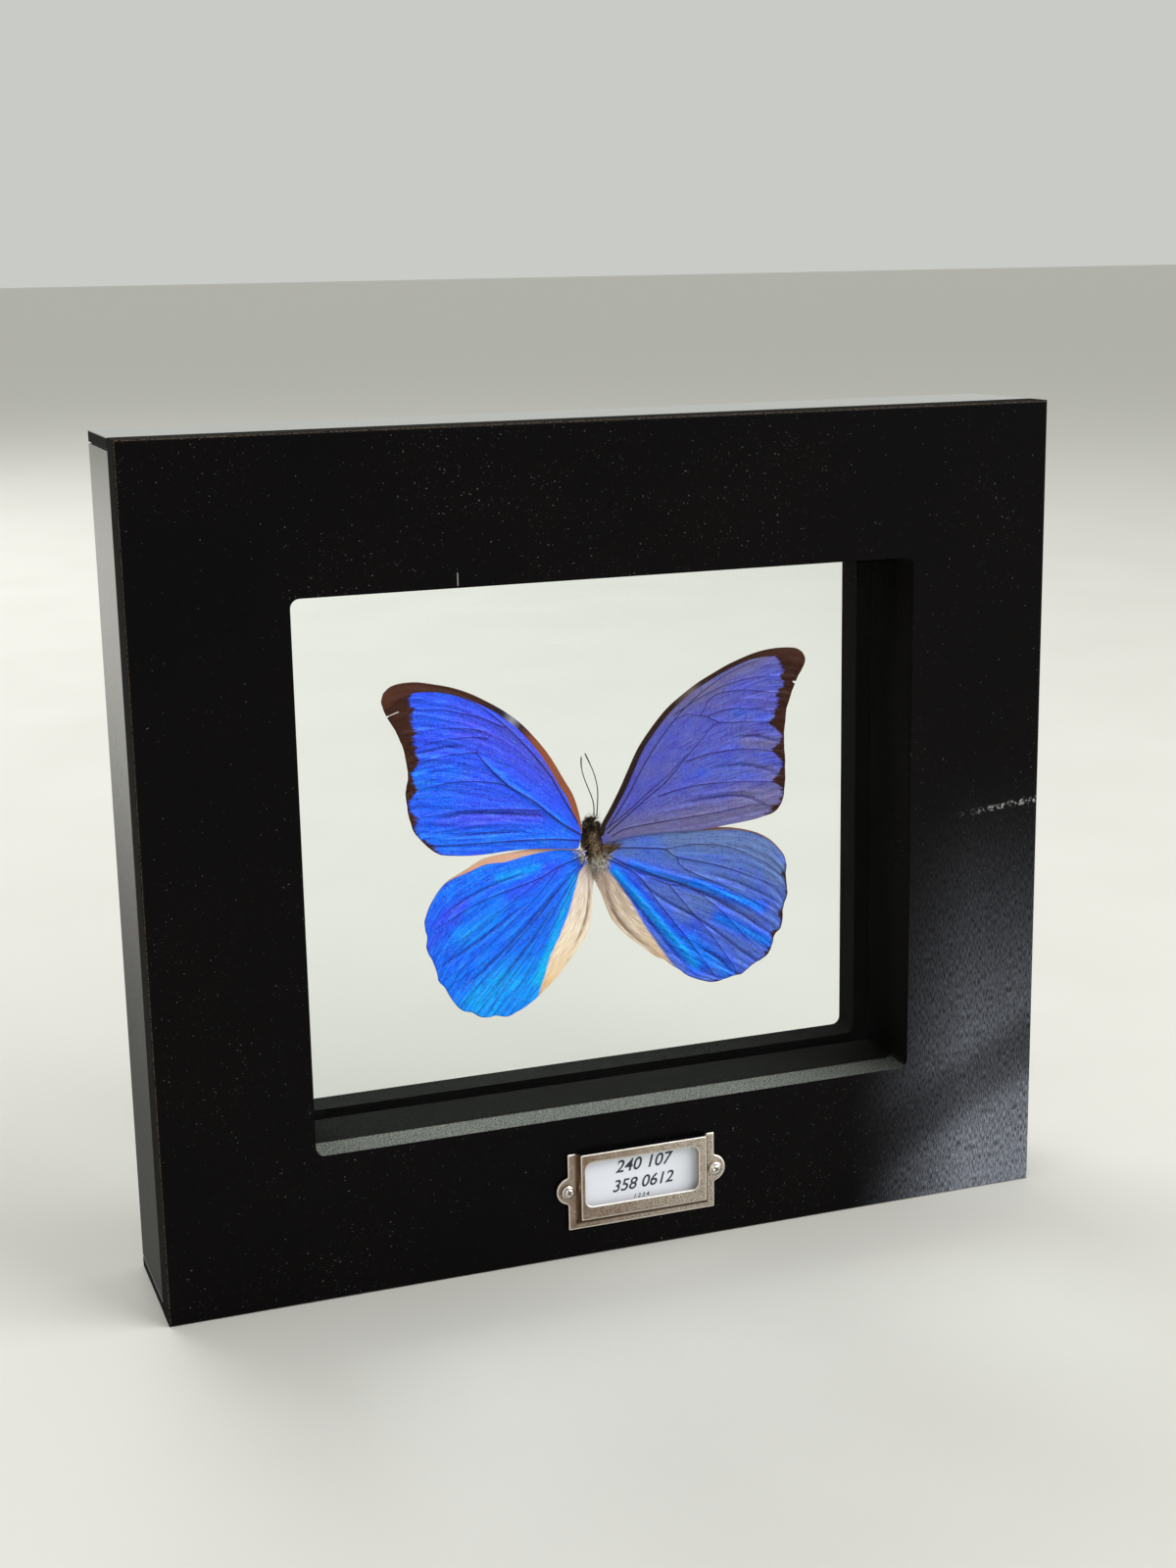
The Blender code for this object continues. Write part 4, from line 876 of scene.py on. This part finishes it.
def tube(path, radii, sides=10):
    """A round tube along a path, with a ring at each place and a point at both ends."""
    path, radii = np.asarray(path, float), np.asarray(radii, float)
    along = np.gradient(path, axis=0)
    along /= np.linalg.norm(along, axis=1, keepdims=True)
    across = np.cross(along, (0, 1, 0.02))
    across /= np.linalg.norm(across, axis=1, keepdims=True)
    other = np.cross(along, across)
    angle = np.linspace(0, 2 * pi, sides, endpoint=False)[None, :, None]
    rings = (path[:, None] + radii[:, None, None]
             * (np.cos(angle) * across[:, None] + np.sin(angle) * other[:, None]))
    points = np.vstack([path[0], rings.reshape(-1, 3), path[-1]])
    return points, ball_faces(len(path) + 1, sides)[:, ::-1]


def hairs(roots, directions, lengths, width, droop):
    """Tapered three-sided hairs. Each runs from its root along its direction and bends by
    droop times the square of the way along; its width falls to a fifth at the tip."""
    share = np.array([0, 0.35, 0.7, 1.0])[None, :, None]
    spine = (roots[:, None] + directions[:, None] * lengths[:, None, None] * share
             + droop[:, None] * lengths[:, None, None] * share**2)
    side = np.cross(directions, (0.31, 0.77, 0.55))
    side /= np.linalg.norm(side, axis=1, keepdims=True)
    other = np.cross(directions, side)
    angle = np.array([0, 2 * pi / 3, 4 * pi / 3])[None, None, :, None]
    thick = (width[:, None, None, None] * (1 - 0.8 * share[..., None]))
    rings = spine[:, :, None] + thick * (np.cos(angle) * side[:, None, None]
                                         + np.sin(angle) * other[:, None, None])
    points = rings.reshape(-1, 3)
    start = np.arange(len(roots))[:, None] * 12
    faces = [(0, 2, 1), (9, 10, 11)]
    for low in (0, 3, 6):
        for j in range(3):
            k = (j + 1) % 3
            faces += [(low + j, low + k, low + 3 + k), (low + j, low + 3 + k, low + 3 + j)]
    faces = (start[:, None] + np.array(faces)[None]).reshape(-1, 3)
    return points, faces


def body_hair():
    """Fine hair of an old dry specimen: dark brown with grey and tan, matted and dull."""
    material, tree, shader = new_material("dry_body_hair", Specular_IOR_Level=0.25,
                                          Roughness=0.7)
    tone = add(tree, "Attribute", out="Fac", attribute_name="tone")
    tone = add(tree, "ValToRGB", (tone,),
               stops=((0.0, "#17100c"), (0.22, "#3a291d"), (0.36, "#8a5530"), (0.46, "#7d6244"),
                      (0.62, "#94835f"), (0.8, "#aa9d8e"), (1.0, "#f0e6dd")))
    place = in_millimetres(tree)
    patch = add(tree, "TexNoise", {"Vector": place, "Scale": 1 / 0.9, "Detail": 3.0})
    feed(tree, shader,
         Base_Color=add(tree, "Mix", {0: add(tree, "MapRange", (patch, 0.48, 0.62, 0.0, 0.8),
                                             **SOFT), 6: tone, 7: "#1d1511"}, **COLOURS))
    return material


def dark_horn(name="dark_horn", roughness=0.35, colours=("#1c110c", "#3a2417")):
    """Insect horn: thin, brown, with the low shine of an old varnish."""
    material, tree, shader = new_material(name, Specular_IOR_Level=0.5)
    place = in_millimetres(tree)
    rings = add(tree, "TexNoise", {"Vector": place, "Scale": 1 / 0.5, "Detail": 2.0})
    rough = add(tree, "MapRange", (rings, 0.3, 0.7, roughness, roughness + 0.15), **SOFT)
    bump = add(tree, "Bump", {"Height": rings, "Distance": 0.00003, "Strength": 0.5})
    feed(tree, shader,
         Base_Color=add(tree, "Mix", {0: rings, 6: colours[0], 7: colours[1]}, **COLOURS),
         Roughness=rough, Normal=bump)
    return material


THORAX = ((1.0, 5.0, 107.4), (2.6, 3.2, 6.2), radians(-10))
HEAD = ((-0.4, 3.9, 113.4), (1.35, 1.6, 1.6), 0.0)
SHOULDER = ((2.3, 3.8, 111.8), (0.7, 1.0, 2.1), radians(-4))


def coat_tone(points, striped):
    """How pale the coat is: a tan stripe down the back and a grey, matted lower end."""
    low = np.clip((106.0 - points[:, 2]) / 2.5, 0, 1)
    waver = 0.35 * np.sin(2.3 * points[:, 2]) + 0.2 * np.sin(5.1 * points[:, 2] + 1.0)
    middle = points[:, 0] - 0.5 - 0.16 * (108 - points[:, 2]) + waver
    wide = 0.85 + 0.12 * (111 - points[:, 2])
    stripe = np.exp(-np.abs(middle / wide) ** 3) * (points[:, 2] < 112.0)
    return striped * (0.48 * stripe + 0.66 * low * (1 - 0.4 * stripe) + 0.12 * (middle > 1.0))


def make_body(hair, horn, hinge):
    """Thorax and head as lumpy globes, two eyes, two palps, and their coat of hair."""
    rng = np.random.default_rng(7)
    faces = ball_faces()
    for name, (centre, radii, lean) in (
            ("thorax", THORAX), ("head", HEAD), ("shoulder", SHOULDER)):
        points, normals = ball_grid(centre, radii, lean=lean)
        tone = 0.10 + coat_tone(points, name == "thorax")
        wave = np.sin(points @ (2.1, 1.3, 1.7)) * np.sin(points @ (-1.1, 2.3, 2.6) + 1)
        points = points - normals * (0.12 + 0.12 * wave[:, None])
        made = piece(name, points, faces, [hair], attributes={"tone": tone})
        if name == "thorax":
            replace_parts(made, "thorax_and_head")
    for name, x in (("eye_left", -1.45), ("eye_right", 0.65)):
        points, _ = ball_grid((x, 3.1, 113.8), (0.6, 0.7, 0.8))
        piece(name, points, faces, [horn])
    points, _ = ball_grid((4.4, 2.9, 107.3), (1.1, 0.5, 0.55), lean=0.3)
    piece("wing_hinge_right", points, faces, [hinge])
    for name, x in (("palp_left", -0.7), ("palp_right", 0.2)):
        path = smooth_line(((x, 3.0, 114.4), (x + 0.1, 2.0, 115.2), (x + 0.5, 1.4, 116.4)), 9)
        points, tube_faces = tube(path, 0.24 * np.sin(np.linspace(0.5, 2.9, 9)), 12)
        piece(name, points, tube_faces, [hair],
              attributes={"tone": np.full(len(points), 0.1)})

    coats = []
    coverings = ((THORAX, 4200, 1.0), (HEAD, 1200, 0.9), (SHOULDER, 600, 0.8))
    for (centre, radii, lean), count, length in coverings:
        points, normals = ball_grid(centre, radii, 90, 120, lean)
        chosen = rng.choice(len(points), count, replace=False)
        roots, normals = points[chosen], normals[chosen]
        down = np.array([0, 0, -1.1 if count > 2000 else 0.4])
        way = 0.7 * normals + down + rng.normal(0, 0.3, (count, 3))
        tone = 0.08 + coat_tone(roots, count > 2000) + rng.normal(0, 0.21, count)
        coats.append((roots, way, length * rng.uniform(0.5, 1.25, count), tone))
    tufts = (  # place, spread, direction, length, tone, count
        ((-3.2, 2.5, 106.5), 1.5, (-1.0, -0.1, 0.1), 1.0, 0.98, 80),
        ((-2.2, 2.9, 104.8), 0.9, (-0.9, -0.2, -0.4), 1.2, 0.90, 80),
        ((-1.6, 3.3, 108.8), 0.7, (-0.9, -0.3, 0.3), 1.3, 0.15, 110),
        ((3.8, 2.7, 107.0), 0.7, (0.9, -0.3, 0.2), 1.8, 0.38, 150),
        ((4.5, 2.2, 105.6), 0.22, (0.8, -0.1, 0.85), 5.2, 0.36, 110),
        ((3.2, 3.2, 109.6), 0.6, (0.8, -0.3, 0.5), 1.2, 0.12, 110),
        ((1.8, 2.8, 103.4), 1.8, (0.2, -0.3, -0.6), 1.7, 0.90, 420),
        ((2.9, 2.7, 104.6), 1.3, (0.7, -0.3, -0.2), 1.6, 0.80, 240),
        ((-0.5, 3.0, 114.8), 0.8, (0.1, -0.3, 0.8), 1.5, 0.03, 120),
        ((0.2, 2.6, 115.2), 0.35, (0.55, -0.4, 0.8), 2.2, 0.06, 60),
    )
    for place, spread, way, length, tone, count in tufts:
        roots = np.array(place) + rng.normal(0, spread, (count, 3)) * (1, 0.5, 1) * 0.6
        ways = np.array(way) + rng.normal(0, 0.12 if length > 4 else 0.3, (count, 3))
        coats.append((roots, ways, length * rng.uniform(0.45, 1.15, count),
                      tone + rng.normal(0, 0.15, count)))
    roots, ways, lengths, tones = (np.concatenate(part) for part in zip(*coats))
    ways /= np.linalg.norm(ways, axis=1, keepdims=True)
    droop = rng.normal(0, 0.25, ways.shape) + (0, 0, -0.1)
    width = rng.uniform(0.05, 0.10, len(roots))
    points, faces = hairs(roots, ways, lengths, width, droop)
    piece("hair_coat", points, faces, [hair], shade=False,
          attributes={"tone": np.clip(np.repeat(tones, 12), 0, 1)})


def make_antennae(horn):
    """Two bristles that thicken slowly to a slim club near the tip."""
    routes = {
        "antenna_left": ((0.9, 3.0, 116.4), (0.7, 2.6, 119.6), (-0.3, 2.0, 122.6),
                         (-2.0, 1.5, 126.6), (-3.1, 1.1, 130.2), (-3.2, 1.0, 133.4)),
        "antenna_right": ((1.7, 3.0, 116.2), (1.9, 2.6, 120.8), (1.6, 2.0, 124.6),
                          (0.6, 1.5, 128.2), (-0.6, 1.1, 131.0), (-2.1, 1.0, 134.2)),
    }
    for name, route in routes.items():
        path = smooth_line(route, 90)
        share = np.linspace(0, 1, 90)
        radius = 0.12 + 0.07 * np.exp(-((share - 0.93) / 0.10) ** 2) + 0.05 * (1 - share)
        radius = radius * (1 + 0.06 * np.cos(2 * pi * 36 * share))
        points, faces = tube(path, radius, 12)
        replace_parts(piece(name + "_bristle", points, faces, [horn]), name)


# ---------------------------------------------------------------- label holder

def standing_out(mesh):
    """How far in mm each place stands out from the mean of its neighbours, evened a little.
    Bends that stand out get a painted highlight; bends that fall in are darkened."""
    count = len(mesh.vertices)
    points, normals = np.empty((2, count * 3))
    mesh.vertices.foreach_get("co", points)
    mesh.vertex_normals.foreach_get("vector", normals)
    points, normals = points.reshape(-1, 3) / MM, normals.reshape(-1, 3)
    ends = np.empty(len(mesh.edges) * 2, np.int32)
    mesh.edges.foreach_get("vertices", ends)
    near, far = ends, ends.reshape(-1, 2)[:, ::-1].ravel()
    uses = np.bincount(near, minlength=count)
    mean = np.stack([np.bincount(near, p[far], count) / uses for p in points.T], axis=1)
    out = ((points - mean) * normals).sum(1)
    for _ in range(3):
        out = (out + np.bincount(near, out[far], count) / uses) / 2
    return out


def make_label(nickel, pin_metal, card, ink):
    """The pressing is its solid, merged, remeshed and smoothed so that its bends are round."""
    source = bmesh.new()
    source.from_mesh(NODES["label_holder"].data)
    bmesh.ops.remove_doubles(source, verts=source.verts, dist=0.002 * MM)
    mesh = bpy.data.meshes.new("pressing")
    source.to_mesh(mesh)
    source.free()
    rough = bpy.data.objects.new("pressing", mesh)
    bpy.context.scene.collection.objects.link(rough)
    remesh = rough.modifiers.new("even_cells", "REMESH")
    remesh.mode = "VOXEL"
    remesh.voxel_size = 0.17 * MM
    soften = rough.modifiers.new("round_bends", "SMOOTH")
    soften.iterations = 14
    graph = bpy.context.evaluated_depsgraph_get()
    holder_mesh = bpy.data.meshes.new_from_object(rough.evaluated_get(graph))
    bpy.data.objects.remove(rough, do_unlink=True)
    holder = bpy.data.objects.new("label_holder_pressing", holder_mesh)
    bpy.context.scene.collection.objects.link(holder)
    holder_mesh.materials.clear()
    holder_mesh.materials.append(nickel)
    holder_mesh.polygons.foreach_set("use_smooth", np.ones(len(holder_mesh.polygons), bool))
    bulge = holder_mesh.attributes.new("bulge", "FLOAT", "POINT")
    bulge.data.foreach_set("value", standing_out(holder_mesh).astype(np.float32))
    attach(holder, "root")
    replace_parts(holder, "label_holder")


    for side, turn in (("left", 0.35), ("right", 0.9)):
        low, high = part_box("label_pin_" + side)
        x, z = (low.x + high.x) / 2 / MM, (low.z + high.z) / 2 / MM
        arc = np.linspace(0.01, pi / 2, 22)
        radii = np.r_[1.35 * np.sin(arc), 1.42, 1.78, 1.8, 1.74, 0.8, 0.8, 0.05]
        depth = np.r_[-22.75 + 0.95 * (1 - np.cos(arc)), -21.74, -21.66, -21.5, -21.36, -21.36,
                      -16, -14.4]
        path = np.stack([np.full(len(depth), x), depth, np.full(len(depth), z)], axis=1)
        points, faces = turned(path, radii, 64)
        across, up = points[:, 0] - x, points[:, 2] - z
        first = across * cos(turn) + up * sin(turn)
        second = up * cos(turn) - across * sin(turn)
        slot = np.maximum(np.exp(-(first / 0.26) ** 4), np.exp(-(second / 0.26) ** 4))
        slot = slot * np.exp(-(np.hypot(across, up) / 0.85) ** 6) * (points[:, 1] < -21.7)
        points[:, 1] += 0.42 * slot
        dome = piece("label_pin_dome_" + side, points, faces, [pin_metal],
                     attributes={"slot": 0.85 * slot})
        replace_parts(dome, "label_pin_" + side)

    low, high = (np.array(corner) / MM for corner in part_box("label_card"))
    high[2] -= 1.0
    corner = np.indices((2, 2, 2)).reshape(3, -1).T
    points = low + corner * (high - low)
    faces = np.array(((0, 1, 3, 2), (4, 6, 7, 5), (0, 4, 5, 1), (2, 3, 7, 6), (0, 2, 6, 4),
                      (1, 5, 7, 3)))
    sheet = piece("card_sheet", points, faces, [card], shade=False)
    cut = sheet.modifiers.new("cut_corners", "BEVEL")
    cut.width, cut.segments = 0.06 * MM, 2
    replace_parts(sheet, "label_card")
    front = low[1] * MM
    lines = (("240 107", 4.9, (4.5, 22.9)), ("358 0612", 4.7, (4.3, 17.5)),
             ("1 2 3 4", 1.6, (3.9, 14.7)))
    for row, (digits, size, (x, z)) in enumerate(lines):
        words = bpy.data.curves.new("digits", "FONT")
        words.body = digits
        words.size = size * MM
        words.shear = 0.3
        words.align_x = "CENTER"
        words.extrude = 0.015 * MM
        words.offset = 0.012 * size * MM
        text = bpy.data.objects.new("digits", words)
        bpy.context.scene.collection.objects.link(text)
        bpy.context.view_layer.update()
        graph = bpy.context.evaluated_depsgraph_get()
        mesh = bpy.data.meshes.new_from_object(text.evaluated_get(graph))
        bpy.data.objects.remove(text, do_unlink=True)
        stand = (Matrix.Translation((x * MM, front - 0.02 * MM, z * MM))
                 @ Matrix.Rotation(pi / 2, 4, "X") @ Matrix.Rotation(radians(1.6), 4, "Z"))
        mesh.transform(stand)
        mesh.materials.clear()
        mesh.materials.append(ink)
        printed = bpy.data.objects.new(f"card_digits_{row + 1}", mesh)
        bpy.context.scene.collection.objects.link(printed)
        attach(printed, "root")


def turned(path, radii, sides=40):
    """A turned piece along Y: a ring at each place, closed by a point at both ends."""
    angle = np.linspace(0, 2 * pi, sides, endpoint=False)[None, :]
    rings = np.stack([path[:, :1] + radii[:, None] * np.cos(angle),
                      path[:, 1:2] + 0 * angle,
                      path[:, 2:] + radii[:, None] * np.sin(angle)], axis=-1)
    points = np.vstack([path[0], rings.reshape(-1, 3), path[-1]])
    return points, ball_faces(len(path) + 1, sides)[:, ::-1]


# ---------------------------------------------------------------- stage

def make_stage():
    """A plain pale floor, an even pale surround, and soft lamps."""
    material, tree, shader = new_material("pale_floor", Specular_IOR_Level=0.3)
    place = in_millimetres(tree)
    grain = add(tree, "TexNoise", {"Vector": place, "Scale": 1 / 90, "Detail": 3.0})
    feed(tree, shader,
         Base_Color=add(tree, "Mix", {0: grain, 6: "#d6d4ce", 7: "#dcdad5"}, **COLOURS),
         Roughness=add(tree, "MapRange", (grain, 0.3, 0.7, 0.5, 0.6), **SOFT))
    mesh = bpy.data.meshes.new("floor")
    reach = 60.0
    corners = [(x * reach, y * reach, 0) for x, y in ((-1, -1), (1, -1), (1, 1), (-1, 1))]
    mesh.from_pydata(corners, [], [(0, 1, 2, 3)])
    mesh.materials.append(material)
    floor = bpy.data.objects.new("floor", mesh)
    bpy.context.scene.collection.objects.link(floor)

    world = bpy.data.worlds.new("pale_surround")
    world.use_nodes = True
    world.node_tree.nodes["Background"].inputs["Color"].default_value = linear("#c9cbc6")
    world.node_tree.nodes["Background"].inputs["Strength"].default_value = 1.0
    bpy.context.scene.world = world

    for name, place, aim, size, power in (
        ("key", (0.80, -0.90, 1.05), (0, 0, 0.11), 1.0, 12.0),
        ("side_window", (1.7, -0.6, 0.75), (0, 0, 0.11), 0.9, 12.0),
        ("behind", (-0.5, 1.7, 1.5), (-0.4, 1.3, 0), 1.4, 24.0),
    ):
        light = bpy.data.lights.new(name, "AREA")
        light.size = size
        light.energy = power
        lamp = bpy.data.objects.new(name, light)
        lamp.location = place
        turn = (Vector(aim) - lamp.location).to_track_quat("-Z", "Y")
        lamp.rotation_euler = turn.to_euler()
        bpy.context.scene.collection.objects.link(lamp)


def make_camera():
    """Stands a little left of the object and above it, and looks slightly down."""
    lens = bpy.data.cameras.new("camera")
    lens.lens = 51.88
    lens.clip_start = 0.01
    camera = bpy.data.objects.new("camera", lens)
    camera.location = (-0.20444, -0.5552, 0.26122)
    camera.rotation_euler = (radians(77.108), radians(1.049), radians(-20.302))
    bpy.context.scene.collection.objects.link(camera)
    bpy.context.scene.camera = camera


def dress(names, material):
    """Gives each named solid its finish. Its mesh stays as it is."""
    for name in names:
        NODES[name].data.materials.clear()
        NODES[name].data.materials.append(material)


make_camera()
make_stage()
bpy.context.scene.view_settings.view_transform = "Standard"

rim = ("rubbed_black_lacquer", ("#0a0909", "#100e0e"), 0.5, 0.13, 0.10)
dress(("front_panel",), lacquer("satin_black_lacquer", ("#050405", "#0a0808"), 0.01, 0.42, 1.0,
                                sill=1.0, painted_sheen_level=0.85, coat=0.09))
dress(("back_panel",), lacquer("satin_black_back", ("#050405", "#0a0808"), 0.01, 0.42, 1.0,
                               sill=0.12, coat=0.16))
dress(("top_board", "bottom_board"), lacquer("black_lacquer_painted_top_sheen", rim[1], 0.02, 0.13, 0.10,
                                         faced="Z", top_sheen=0.3, coat=1.0, coat_rough=0.13))
dress(("left_board", "right_board"), lacquer(*rim, faced="X", foot=0.5))
dress(("spacer_top", "spacer_bottom", "spacer_left", "spacer_right"),
      lacquer("matt_spacer_paint", ("#020303", "#050608"), 0.01, 0.6, 1.2, sill=0.05))
dress(("front_pane", "back_pane"), clear_pane())

underside = brown_scales()
left_fore = blue_scales("left_forewing_scales", (
    (0.0, "#8f4f33"), (0.38, "#86492f"), (0.46, "#2a1a22"), (0.50, "#8d8a95"), (0.54, "#20172a"),
    (0.62, "#3c1f14"), (1.0, "#4a2415")), ("#6b5f78", "#55436a"))
right_fore = blue_scales("right_forewing_scales", (
    (0.0, "#24130d"), (0.5, "#2c180f"), (0.58, "#6b5a58"), (0.62, "#2c180f"), (1.0, "#452213")),
    ("#857a9f", "#6c6096"))
left_hind = blue_scales("left_hindwing_scales", (
    (0.0, "#b98f8c"), (0.3, "#d5a792"), (0.8, "#c98f6c")), ("#6b6f98", "#55538a"), (
    (0.0, "#b9a39b"), (0.2, "#dcc6b8"), (0.5, "#ead2b8"), (0.8, "#dfb688"), (1.0, "#b98552")))
# The right fold's tones are dark at the root end: painted shadow near the body.
right_hind = blue_scales("right_hindwing_scales", (
    (0.0, "#5d4a58"), (0.5, "#75564f"), (1.0, "#8a5f50")), ("#6f8bbd", "#606aa8"), (
    (0.0, "#6d5548"), (0.2, "#bda191"), (0.5, "#d8bfa6"), (0.8, "#cb9c72"), (1.0, "#7a5230")))
for wing, scales in ((FOREWING_LEFT, left_fore), (FOREWING_RIGHT, right_fore),
                     (HINDWING_LEFT, left_hind), (HINDWING_RIGHT, right_hind)):
    wing_surface(wing, scales, underside)
horn = dark_horn()
make_body(body_hair(), horn, dark_horn("tan_hinge_horn", 0.5, ("#8f5429", "#b97a45")))
make_antennae(horn)
make_label(satin_nickel(), bright_nickel(), card_stock(), printed_ink())
